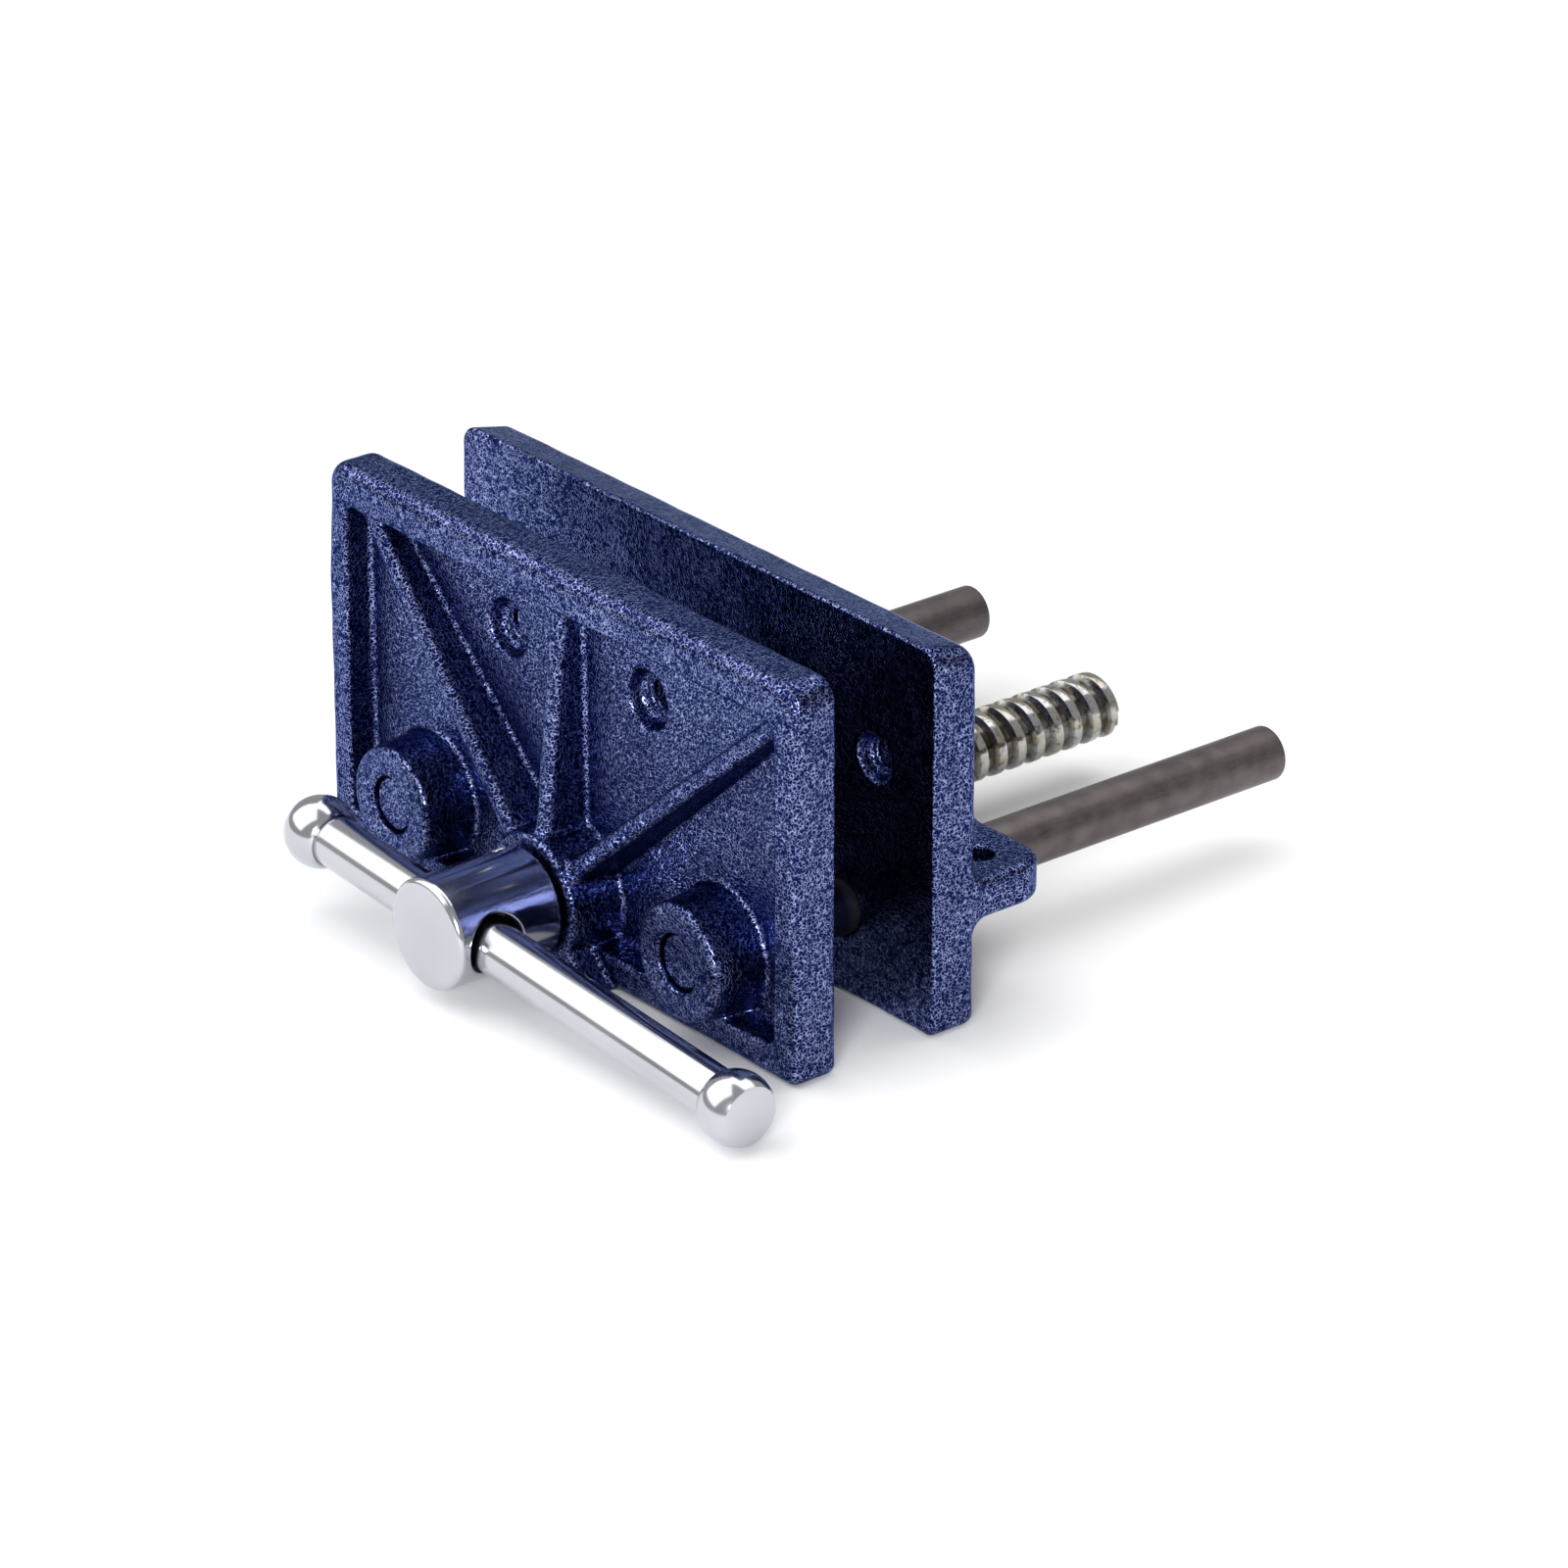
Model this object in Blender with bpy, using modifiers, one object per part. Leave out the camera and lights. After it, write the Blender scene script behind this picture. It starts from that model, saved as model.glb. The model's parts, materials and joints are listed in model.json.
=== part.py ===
"""A woodworker's bench vise: two cast jaws, two guide rods, a lead screw and a sliding handle.

Metres. +X runs along the jaws to the right, +Y from the front jaw to the rear one, +Z up.
The origin is on top of the rear jaw's flange, midway between its two bench screw holes.
The jaws stand a little open, with the handle bar a few degrees off level.
"""
import math

import bmesh
import bpy
from mathutils import Matrix, Vector

# Clearance between pieces that touch
GAP = 0.0003

# Jaws
JAW_WIDTH = 0.165
JAW_BOTTOM = -0.0333
JAW_TOP_CORNER = 0.0062
JAW_BOTTOM_CORNER = 0.0028
FRONT_JAW_ROUND = 0.0026
REAR_FRONT_ROUND = 0.001
REAR_BACK_ROUND = 0.0024
FRONT_TOP = 0.059
REAR_TOP = 0.0575
REAR_TOP_FALL = 0.0028
FRONT_THICK = 0.0125
REAR_THICK = 0.0127
JAW_OPENING = 0.0256
REAR_BACK_Y = -0.0098
REAR_FACE_Y = REAR_BACK_Y - REAR_THICK
FRONT_FACE_Y = REAR_FACE_Y - JAW_OPENING
RIM_Y = FRONT_FACE_Y - FRONT_THICK

# Front jaw casting: a rim round a recess, three ribs and three bosses
RIM_SIDE = 0.0075
RIM_TOP = 0.0095
RIM_BOTTOM = 0.0078
RECESS_DEPTH = 0.0065
RECESS_DRAFT = 0.0012
BOSS_PROUD = 0.007
BOSS_Y = RIM_Y - BOSS_PROUD
FLOOR_Y = RIM_Y + RECESS_DEPTH
ROD_BOSS_R = 0.0134
SCREW_BOSS_R = 0.015
BOSS_DRAFT = 0.0009
RIB_TOP_HALF = 0.0018
RIB_FOOT_HALF = 0.0032
# Each rib's outer end: x, z, and how far its crest lies behind the rim there
RIB_ENDS = ((-0.068, 0.050, 0.0008), (0.0, 0.052, 0.001), (0.075, 0.049, 0.0008))
RIB_CREST_AT_BOSS = 0.0014

# Rear jaw casting: a bench flange, two rod bosses and a nut boss
FLANGE_THICK = 0.0095
FLANGE_HALF = 0.082
FLANGE_REAR_Y = 0.0118
FLANGE_CORNER = 0.009
REAR_ROD_BOSS_R = 0.0122
REAR_ROD_BOSS_END_Y = 0.0123
NUT_BOSS_R = 0.0158
NUT_BOSS_END_Y = 0.020
BENCH_HOLE_X = 0.0705
BENCH_HOLE_R = 0.0034

# Screw holes in the jaws' faces, for wooden cheeks and for the bench edge
CHEEK_HOLE = (0.0245, 0.0352)
EDGE_HOLE = (0.062, 0.0258)
FACE_HOLE_R = 0.00325
CHEEK_SINK_R = 0.0066
EDGE_SINK_R = 0.0055
SINK_DEPTH = 0.0038

# Guide rods, pinned into the front jaw from below
ROD_X = 0.051
ROD_Z = -0.013
ROD_R = 0.00635
ROD_FRONT_Y = BOSS_Y + 0.0015
ROD_REAR_Y = 0.1025
ROD_CHAMFER = 0.0006
ROD_PIN_R = 0.0025
ROD_PIN_TOP = 0.005

# Lead screw: right-hand trapezoidal thread
SCREW_Z = -0.017
SCREW_R = 0.0079
SCREW_ROOT_R = 0.0064
SCREW_PITCH = 0.0056
SCREW_REAR_Y = 0.0972
SCREW_CHAMFER = 0.0012
THREAD_FRONT_Y = FRONT_FACE_Y + 0.002
THREAD_STEPS = 16
# Corners of the thread over one pitch: place along it, depth, and the side its play goes to
THREAD_CORNERS = ((0.00, 0.0, 1), (0.34, 0.0, -1), (0.44, 1.0, -1), (0.90, 1.0, 1))
THREAD_SIDE_PLAY = 0.06
THREAD_PLAY = 0.00035
TENON_R = 0.0072

# Thrust washer and collar, in a pocket in the front jaw's back face
POCKET_R = 0.015
POCKET_DEPTH = 0.009
WASHER_R = 0.0135
WASHER_THICK = 0.0018
COLLAR_R = 0.0132
COLLAR_THICK = 0.0062
COLLAR_PIN_R = 0.002

# Lead nut, flanged at the rear and locked by a set screw from below
NUT_R = 0.012
NUT_FRONT_Y = -0.0077
NUT_FLANGE_R = 0.0148
NUT_FLANGE_THICK = 0.003
SET_SCREW_R = 0.003
SET_SCREW_Y = 0.008
SET_SCREW_BITE = 0.0015

# Screw head and handle
HEAD_R = 0.0127
HEAD_LENGTH = 0.028
HEAD_CHAMFER = 0.0008
HEAD_BACK_Y = BOSS_Y - GAP
HEAD_FRONT_Y = HEAD_BACK_Y - HEAD_LENGTH
TENON_LENGTH = 0.0092
HEAD_PIN_R = 0.002
HEAD_PIN_ANGLE = math.radians(150)
BAR_Y = HEAD_FRONT_Y + 0.010
BAR_R = 0.0059
BAR_HOLE_R = 0.0068
BAR_DROP = 0.00055
HANDLE_TILT = math.radians(3.9)
HANDLE_SHIFT = 0.0214
KNOB_SPAN = 0.1465
KNOB_R = 0.0083
KNOB_INNER = 0.0052
KNOB_OUTER = 0.0048
KNOB_DOME = 0.0006
KNOB_BORE_DEPTH = 0.007

COLORS = {
    "blue_enamel": ((0.045, 0.065, 0.21), 0.35, 0.1),
    "chrome": ((0.80, 0.81, 0.82), 0.08, 1.0),
    "drawn_steel": ((0.16, 0.14, 0.13), 0.38, 0.9),
    "zinc_steel": ((0.60, 0.57, 0.45), 0.28, 1.0),
    "bronze": ((0.45, 0.28, 0.12), 0.35, 1.0),
    "black_steel": ((0.06, 0.06, 0.065), 0.45, 0.8),
}

ALONG_Y = Matrix.Rotation(-math.pi / 2, 4, "X")


def clear_scene():
    for obj in list(bpy.data.objects):
        bpy.data.objects.remove(obj, do_unlink=True)


def make_collection(name):
    collection = bpy.data.collections.new(name)
    bpy.context.scene.collection.children.link(collection)
    return collection


def make_material(name, color_key):
    color, roughness, metallic = COLORS[color_key]
    material = bpy.data.materials.new(name)
    material.use_nodes = True
    shader = material.node_tree.nodes["Principled BSDF"]
    shader.inputs["Base Color"].default_value = (*color, 1.0)
    shader.inputs["Roughness"].default_value = roughness
    shader.inputs["Metallic"].default_value = metallic
    material.diffuse_color = (*color, 1.0)
    return material


def new_object(name, mesh, collection):
    obj = bpy.data.objects.new(name, mesh)
    collection.objects.link(obj)
    return obj


def finish_piece(obj, color_key, parent=None):
    obj.data.materials.append(make_material(obj.name, color_key))
    obj.data.shade_smooth()
    obj.data.set_sharp_from_angle(angle=math.radians(35))
    if parent:
        obj.parent = parent
        obj.matrix_parent_inverse = parent.matrix_world.inverted()
    return obj


def hide_tool(obj):
    obj.hide_render = True
    obj.display_type = "WIRE"
    return obj


def empty_at(name, matrix, collection, parent=None):
    empty = bpy.data.objects.new(name, None)
    empty.empty_display_size = 0.02
    collection.objects.link(empty)
    empty.matrix_world = matrix
    bpy.context.view_layer.update()
    if parent:
        empty.parent = parent
        empty.matrix_parent_inverse = parent.matrix_world.inverted()
        bpy.context.view_layer.update()
    return empty


def combine(target, tool, operation):
    modifier = target.modifiers.new(f"{operation.lower()} {tool.name}", "BOOLEAN")
    modifier.operation = operation
    modifier.solver = "EXACT"
    modifier.object = tool


def cut(target, *tools):
    for tool in tools:
        combine(target, tool, "DIFFERENCE")


def join(target, *tools):
    for tool in tools:
        combine(target, tool, "UNION")


def cylinder(name, collection, radius, start, end, segments=32, end_radius=None):
    """A cylinder or cone from point start to point end."""
    start, end = Vector(start), Vector(end)
    axis = end - start
    mesh = bpy.data.meshes.new(name)
    bm = bmesh.new()
    bmesh.ops.create_cone(
        bm, cap_ends=True, segments=segments, radius1=radius,
        radius2=radius if end_radius is None else end_radius, depth=axis.length,
    )
    turn = axis.to_track_quat("Z", "Y").to_matrix().to_4x4()
    bmesh.ops.transform(bm, matrix=Matrix.Translation((start + end) / 2) @ turn, verts=bm.verts)
    bm.to_mesh(mesh)
    bm.free()
    return new_object(name, mesh, collection)


def cutter(name, radius, start, end, segments=32, end_radius=None):
    return hide_tool(cylinder(name, TOOLS, radius, start, end, segments, end_radius))


def box_mesh(low, high):
    """A cube stretched between two corners, as a bmesh still open for bevels."""
    bm = bmesh.new()
    bmesh.ops.create_cube(bm, size=1.0)
    low, high = Vector(low), Vector(high)
    for vert in bm.verts:
        vert.co = Vector(
            low[i] + (high[i] - low[i]) * (vert.co[i] + 0.5) for i in range(3)
        )
    return bm


def bevel_edges(bm, edges, radius, segments):
    bmesh.ops.bevel(
        bm, geom=edges, offset=radius, offset_type="OFFSET", segments=segments,
        profile=0.5, affect="EDGES", clamp_overlap=True,
    )


def edges_along(bm, axis):
    picked = []
    for edge in bm.edges:
        step = edge.verts[0].co - edge.verts[1].co
        if abs(step[axis]) > 0.99 * step.length:
            picked.append(edge)
    return picked


def edges_round_y_end(bm, y):
    return [e for e in bm.edges if all(abs(v.co.y - y) < 1e-6 for v in e.verts)]


def jaw_plate(name, collection, low, high, front_round, back_round, top_fall=0.0):
    """An upright plate with rounded corners, rounded edges, and a top that may fall towards the back."""
    bm = box_mesh(low, high)
    bevel_edges(bm, [e for e in edges_along(bm, 1) if e.verts[0].co.z > 0], JAW_TOP_CORNER, 4)
    bevel_edges(bm, [e for e in edges_along(bm, 1) if e.verts[0].co.z < 0], JAW_BOTTOM_CORNER, 3)
    bevel_edges(bm, edges_round_y_end(bm, low[1]), front_round, 2)
    bevel_edges(bm, edges_round_y_end(bm, high[1]), back_round, 2)
    for vert in (v for v in bm.verts if v.co.z > 0):
        vert.co.z -= top_fall * (vert.co.y - low[1]) / (high[1] - low[1])
    mesh = bpy.data.meshes.new(name)
    bm.to_mesh(mesh)
    bm.free()
    return new_object(name, mesh, collection)


def turned(name, collection, profile, place, steps=40, ring=False):
    """A turned shape: (radius, height) points down the outer side, spun round local Z."""
    mesh = bpy.data.meshes.new(name)
    edges = [(i, i + 1) for i in range(len(profile) - 1)]
    if ring:
        edges.append((len(profile) - 1, 0))
    mesh.from_pydata([(radius, 0.0, height) for radius, height in profile], edges, [])
    obj = new_object(name, mesh, collection)
    spin = obj.modifiers.new("spin", "SCREW")
    spin.axis = "Z"
    spin.steps = steps
    spin.render_steps = steps
    spin.use_merge_vertices = True
    spin.merge_threshold = 0.00001
    spin.use_normal_calculate = False
    obj.matrix_world = place
    return obj


def along_y(x, y, z):
    """Places a turned shape with its local Z along +Y."""
    return Matrix.Translation((x, y, z)) @ ALONG_Y


def chamfered_rod(length, radius, chamfer):
    return [
        (0.0, length), (radius - chamfer, length), (radius, length - chamfer),
        (radius, chamfer), (radius - chamfer, 0.0), (0.0, 0.0),
    ]


def ring_profile(inner, outer, thickness, chamfer):
    return [
        (inner, thickness), (outer - chamfer, thickness), (outer, thickness - chamfer),
        (outer, chamfer), (outer - chamfer, 0.0), (inner, 0.0),
    ]


# ---------------------------------------------------------------- threads

def thread_surface(low_y, high_y, low_r, high_r, end_r, play):
    """An open helical surface round +Y, clamped to a plain ring of radius end_r at each end."""
    bm = bmesh.new()
    steps = THREAD_STEPS
    first = math.floor((low_y - THREAD_FRONT_Y) / SCREW_PITCH - 2) * steps
    last = math.ceil((high_y - THREAD_FRONT_Y) / SCREW_PITCH + 1) * steps
    rows = []
    for step in range(first, last + steps + 1):
        angle = -2 * math.pi * step / steps
        row = []
        for fraction, level, side in THREAD_CORNERS:
            y = THREAD_FRONT_Y + SCREW_PITCH * (step / steps + fraction + side * play)
            radius = low_r + (high_r - low_r) * level
            if y <= low_y or y >= high_y:
                y = min(max(y, low_y), high_y)
                radius = end_r
            row.append(bm.verts.new((radius * math.cos(angle), y, radius * math.sin(angle))))
        rows.append(row)
    for here in range(last - first):
        for k in range(3):
            bm.faces.new((rows[here][k], rows[here + 1][k], rows[here + 1][k + 1], rows[here][k + 1]))
        turn = here + steps
        if turn + 1 < len(rows):
            bm.faces.new((rows[here][3], rows[here + 1][3], rows[turn + 1][0], rows[turn][0]))
    bmesh.ops.remove_doubles(bm, verts=bm.verts, dist=1e-6)
    loose = [v for v in bm.verts if not v.link_faces]
    bmesh.ops.delete(bm, geom=loose, context="VERTS")
    return bm


def end_edges(bm, y):
    return [e for e in bm.edges if e.is_boundary and all(abs(v.co.y - y) < 1e-6 for v in e.verts)]


def extend_ring(bm, edges, y, radius):
    """Extrudes a boundary ring to a new place along Y and a new radius."""
    grown = bmesh.ops.extrude_edge_only(bm, edges=edges)["geom"]
    for vert in (item for item in grown if isinstance(item, bmesh.types.BMVert)):
        flat = Vector((vert.co.x, 0.0, vert.co.z)).normalized() * radius
        vert.co = Vector((flat.x, y, flat.z))
    return [item for item in grown if isinstance(item, bmesh.types.BMEdge)]


def close_thread(bm, name, collection, place):
    bmesh.ops.remove_doubles(bm, verts=bm.verts, dist=1e-6)
    bmesh.ops.recalc_face_normals(bm, faces=bm.faces)
    mesh = bpy.data.meshes.new(name)
    bm.to_mesh(mesh)
    bm.free()
    obj = new_object(name, mesh, collection)
    obj.matrix_world = place
    return obj


# ---------------------------------------------------------------- rear jaw

def flange_tool():
    """The bench flange, its rear corners rounded in plan."""
    bm = box_mesh(
        (-FLANGE_HALF, REAR_BACK_Y - 0.004, -FLANGE_THICK),
        (FLANGE_HALF, FLANGE_REAR_Y, 0.0),
    )
    rear = [e for e in edges_along(bm, 2) if e.verts[0].co.y > 0]
    bevel_edges(bm, rear, FLANGE_CORNER, 5)
    mesh = bpy.data.meshes.new("flange")
    bm.to_mesh(mesh)
    bm.free()
    return hide_tool(new_object("flange", mesh, TOOLS))


def face_hole_tools(name, x, z, mouth_y, back_y, sink_r):
    """A countersunk screw hole along +Y, its mouth at mouth_y."""
    clear = 0.002
    hole = cutter(f"{name}_hole", FACE_HOLE_R, (x, mouth_y - clear, z), (x, back_y + clear, z), 24)
    slope = (sink_r - FACE_HOLE_R) / SINK_DEPTH
    sink = cutter(
        f"{name}_sink", sink_r + clear * slope, (x, mouth_y - clear, z),
        (x, mouth_y + SINK_DEPTH, z), 24, FACE_HOLE_R,
    )
    return hole, sink


def build_rear_jaw():
    jaw = jaw_plate(
        "rear_jaw", PIECES,
        (-JAW_WIDTH / 2, REAR_FACE_Y, JAW_BOTTOM), (JAW_WIDTH / 2, REAR_BACK_Y, REAR_TOP),
        REAR_FRONT_ROUND, REAR_BACK_ROUND, REAR_TOP_FALL,
    )
    inside_y = REAR_BACK_Y - 0.006
    join(jaw, flange_tool())
    for side in (-1, 1):
        boss = cutter(
            f"rear_rod_boss_{side}", REAR_ROD_BOSS_R, (side * ROD_X, inside_y, ROD_Z),
            (side * ROD_X, REAR_ROD_BOSS_END_Y, ROD_Z), 36,
        )
        join(jaw, boss)
    nut_boss = cutter("nut_boss", NUT_BOSS_R, (0, inside_y, SCREW_Z), (0, NUT_BOSS_END_Y, SCREW_Z), 40)
    join(jaw, nut_boss)
    for side in (-1, 1):
        bore = cutter(
            f"rear_rod_bore_{side}", ROD_R + GAP, (side * ROD_X, REAR_FACE_Y - 0.002, ROD_Z),
            (side * ROD_X, REAR_ROD_BOSS_END_Y + 0.002, ROD_Z), 36,
        )
        bench_hole = cutter(
            f"bench_hole_{side}", BENCH_HOLE_R, (side * BENCH_HOLE_X, 0, -FLANGE_THICK - 0.002),
            (side * BENCH_HOLE_X, 0, 0.002), 24,
        )
        cut(jaw, bore, bench_hole)
        x, z = side * EDGE_HOLE[0], EDGE_HOLE[1]
        cut(jaw, *face_hole_tools(f"edge_{side}", x, z, REAR_FACE_Y, REAR_BACK_Y, EDGE_SINK_R))
    screw_bore = cutter(
        "rear_screw_bore", SCREW_R + 2 * GAP, (0, REAR_FACE_Y - 0.002, SCREW_Z), (0, 0, SCREW_Z), 36,
    )
    nut_bore = cutter(
        "nut_bore", NUT_R + GAP, (0, NUT_FRONT_Y - GAP, SCREW_Z), (0, NUT_BOSS_END_Y + 0.002, SCREW_Z), 36,
    )
    set_screw_hole = cutter(
        "set_screw_hole", SET_SCREW_R + GAP, (0, SET_SCREW_Y, SCREW_Z - NUT_BOSS_R - 0.002),
        (0, SET_SCREW_Y, SCREW_Z - NUT_R / 2), 20,
    )
    cut(jaw, screw_bore, nut_bore, set_screw_hole)
    return finish_piece(jaw, "blue_enamel")


def build_lead_nut():
    rear_y = NUT_BOSS_END_Y + GAP + NUT_FLANGE_THICK
    groove_r = SCREW_R + THREAD_PLAY
    bm = thread_surface(
        NUT_FRONT_Y, rear_y, SCREW_ROOT_R + THREAD_PLAY, groove_r, groove_r, THREAD_SIDE_PLAY,
    )
    edges = end_edges(bm, NUT_FRONT_Y)
    outline = (
        (NUT_FRONT_Y, NUT_R), (NUT_BOSS_END_Y + GAP, NUT_R),
        (NUT_BOSS_END_Y + GAP, NUT_FLANGE_R), (rear_y, NUT_FLANGE_R), (rear_y, groove_r),
    )
    for y, radius in outline:
        edges = extend_ring(bm, edges, y, radius)
    nut = close_thread(bm, "lead_nut", PIECES, Matrix.Translation((0, 0, SCREW_Z)))
    bite = cutter(
        "nut_bite", SET_SCREW_R + GAP, (0, SET_SCREW_Y, SCREW_Z - NUT_R - 0.002),
        (0, SET_SCREW_Y, SCREW_Z - NUT_R + SET_SCREW_BITE + GAP), 20,
    )
    cut(nut, bite)
    finish_piece(nut, "bronze")

    length = NUT_BOSS_R - NUT_R + SET_SCREW_BITE - 0.0006
    bottom_z = SCREW_Z - NUT_R + SET_SCREW_BITE - length
    screw = turned(
        "nut_set_screw", PIECES, chamfered_rod(length, SET_SCREW_R, 0.0005),
        Matrix.Translation((0, SET_SCREW_Y, bottom_z)), 24,
    )
    socket = cutter(
        "set_screw_socket", 0.0016, (0, SET_SCREW_Y, bottom_z - 0.001),
        (0, SET_SCREW_Y, bottom_z + 0.0022), 6,
    )
    cut(screw, socket)
    finish_piece(screw, "black_steel")


# ---------------------------------------------------------------- front jaw

def recess_tool():
    """The recess in the front jaw's face, narrower at its floor than at its mouth."""
    low = (-JAW_WIDTH / 2 + RIM_SIDE, RIM_Y - 0.004, JAW_BOTTOM + RIM_BOTTOM)
    high = (JAW_WIDTH / 2 - RIM_SIDE, FLOOR_Y, FRONT_TOP - RIM_TOP)
    bm = box_mesh(low, high)
    bevel_edges(bm, edges_along(bm, 1), 0.003, 3)
    middle_z = (low[2] + high[2]) / 2
    for vert in (v for v in bm.verts if v.co.y > RIM_Y):
        vert.co.x -= math.copysign(RECESS_DRAFT, vert.co.x)
        vert.co.z -= math.copysign(RECESS_DRAFT, vert.co.z - middle_z)
    mesh = bpy.data.meshes.new("recess")
    bm.to_mesh(mesh)
    bm.free()
    return hide_tool(new_object("recess", mesh, TOOLS))


def rib_tool(index, end_x, end_z, end_crest):
    """A rib from the screw boss to the rim, which stands taller towards the boss."""
    start = Vector((0.0, 0.0, SCREW_Z))
    reach = Vector((end_x, 0.0, end_z)) - start
    along = reach.normalized()
    across = Vector((along.z, 0.0, -along.x))
    inner = 0.006
    bm = bmesh.new()
    bmesh.ops.create_cube(bm, size=2.0)
    for vert in bm.verts:
        outer_end, side, deep = vert.co.x > 0, vert.co.z, vert.co.y > 0
        travel = reach.length if outer_end else inner
        crest_y = RIM_Y + end_crest if outer_end else BOSS_Y + RIB_CREST_AT_BOSS
        half = RIB_FOOT_HALF if deep else RIB_TOP_HALF
        vert.co = start + along * travel + across * side * half
        vert.co.y = FLOOR_Y + 0.003 if deep else crest_y
    bmesh.ops.recalc_face_normals(bm, faces=bm.faces)
    name = f"rib_{index}"
    mesh = bpy.data.meshes.new(name)
    bm.to_mesh(mesh)
    bm.free()
    return hide_tool(new_object(name, mesh, TOOLS))


def boss_tool(name, x, z, radius):
    return cutter(name, radius, (x, BOSS_Y, z), (x, FLOOR_Y + 0.003, z), 40, radius + BOSS_DRAFT)


def build_front_jaw(parent):
    jaw = jaw_plate(
        "front_jaw", PIECES,
        (-JAW_WIDTH / 2, RIM_Y, JAW_BOTTOM), (JAW_WIDTH / 2, FRONT_FACE_Y, FRONT_TOP),
        FRONT_JAW_ROUND, FRONT_JAW_ROUND,
    )
    cut(jaw, recess_tool())
    for index, rib_end in enumerate(RIB_ENDS):
        join(jaw, rib_tool(index, *rib_end))
    join(jaw, boss_tool("screw_boss", 0, SCREW_Z, SCREW_BOSS_R))
    for side in (-1, 1):
        x = side * ROD_X
        join(jaw, boss_tool(f"rod_boss_{side}", x, ROD_Z, ROD_BOSS_R))
        bore = cutter(
            f"rod_bore_{side}", ROD_R + GAP, (x, BOSS_Y - 0.002, ROD_Z), (x, FRONT_FACE_Y + 0.002, ROD_Z), 36,
        )
        pin_bore = cutter(
            f"rod_pin_bore_{side}", ROD_PIN_R + GAP, (x, rod_pin_y(), JAW_BOTTOM - 0.002),
            (x, rod_pin_y(), ROD_Z + 0.003), 20,
        )
        cut(jaw, bore, pin_bore)
        x, z = side * CHEEK_HOLE[0], CHEEK_HOLE[1]
        cut(jaw, *face_hole_tools(f"cheek_{side}", x, z, FLOOR_Y, FRONT_FACE_Y, CHEEK_SINK_R))
    screw_bore = cutter(
        "front_screw_bore", SCREW_R + GAP, (0, BOSS_Y - 0.002, SCREW_Z), (0, FRONT_FACE_Y + 0.002, SCREW_Z), 36,
    )
    pocket = cutter(
        "collar_pocket", POCKET_R, (0, FRONT_FACE_Y - POCKET_DEPTH, SCREW_Z),
        (0, FRONT_FACE_Y + 0.002, SCREW_Z), 40,
    )
    cut(jaw, screw_bore, pocket)
    return finish_piece(jaw, "blue_enamel", parent)


def rod_pin_y():
    return (RIM_Y + FRONT_FACE_Y) / 2


def build_guide_rod(name, x, parent):
    rod = turned(
        name, PIECES, chamfered_rod(ROD_REAR_Y - ROD_FRONT_Y, ROD_R, ROD_CHAMFER),
        along_y(x, ROD_FRONT_Y, ROD_Z), 36,
    )
    pin_hole = cutter(
        f"{name}_pin_hole", ROD_PIN_R + GAP, (x, rod_pin_y(), ROD_Z - ROD_R - 0.002),
        (x, rod_pin_y(), ROD_Z + ROD_R + 0.002), 20,
    )
    cut(rod, pin_hole)
    finish_piece(rod, "drawn_steel", parent)


def build_rod_pin(name, x, parent):
    bottom = JAW_BOTTOM + 0.0006
    length = ROD_Z + ROD_PIN_TOP - bottom
    pin = turned(
        name, PIECES, chamfered_rod(length, ROD_PIN_R, 0.0004),
        Matrix.Translation((x, rod_pin_y(), bottom)), 24,
    )
    finish_piece(pin, "black_steel", parent)


def build_thrust_washer(parent):
    washer = turned(
        "thrust_washer", PIECES, ring_profile(SCREW_R + GAP, WASHER_R, WASHER_THICK, 0.0003),
        along_y(0, FRONT_FACE_Y - POCKET_DEPTH + GAP, SCREW_Z), 36, ring=True,
    )
    finish_piece(washer, "zinc_steel", parent)


# ---------------------------------------------------------------- screw and handle

def build_lead_screw(parent):
    """The screw: a tenon in the head, a plain shank, the thread, and a chamfered end."""
    thread_end_y = SCREW_REAR_Y - SCREW_CHAMFER
    bm = thread_surface(THREAD_FRONT_Y, thread_end_y, SCREW_ROOT_R, SCREW_R, SCREW_ROOT_R, 0.0)
    shoulder_y = HEAD_BACK_Y + 0.001
    front = end_edges(bm, THREAD_FRONT_Y)
    outline = (
        (THREAD_FRONT_Y - 0.0008, SCREW_R), (shoulder_y, SCREW_R), (shoulder_y, TENON_R),
        (HEAD_BACK_Y - TENON_LENGTH, TENON_R),
    )
    for y, radius in outline:
        front = extend_ring(bm, front, y, radius)
    bmesh.ops.contextual_create(bm, geom=front)
    rear = extend_ring(bm, end_edges(bm, thread_end_y), SCREW_REAR_Y, SCREW_ROOT_R - 0.001)
    bmesh.ops.contextual_create(bm, geom=rear)
    screw = close_thread(bm, "lead_screw", PIECES, Matrix.Translation((0, 0, SCREW_Z)))
    pin_y = collar_y() + COLLAR_THICK / 2
    pin_hole = cutter(
        "screw_collar_pin_hole", COLLAR_PIN_R + GAP, (-0.012, pin_y, SCREW_Z), (0.012, pin_y, SCREW_Z), 16,
    )
    cut(screw, pin_hole, head_pin_tool("screw_head_pin_hole", HEAD_PIN_R + GAP, 0.0025, HEAD_R + 0.002))
    finish_piece(screw, "zinc_steel", parent)


def collar_y():
    return FRONT_FACE_Y - POCKET_DEPTH + 2 * GAP + WASHER_THICK


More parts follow.
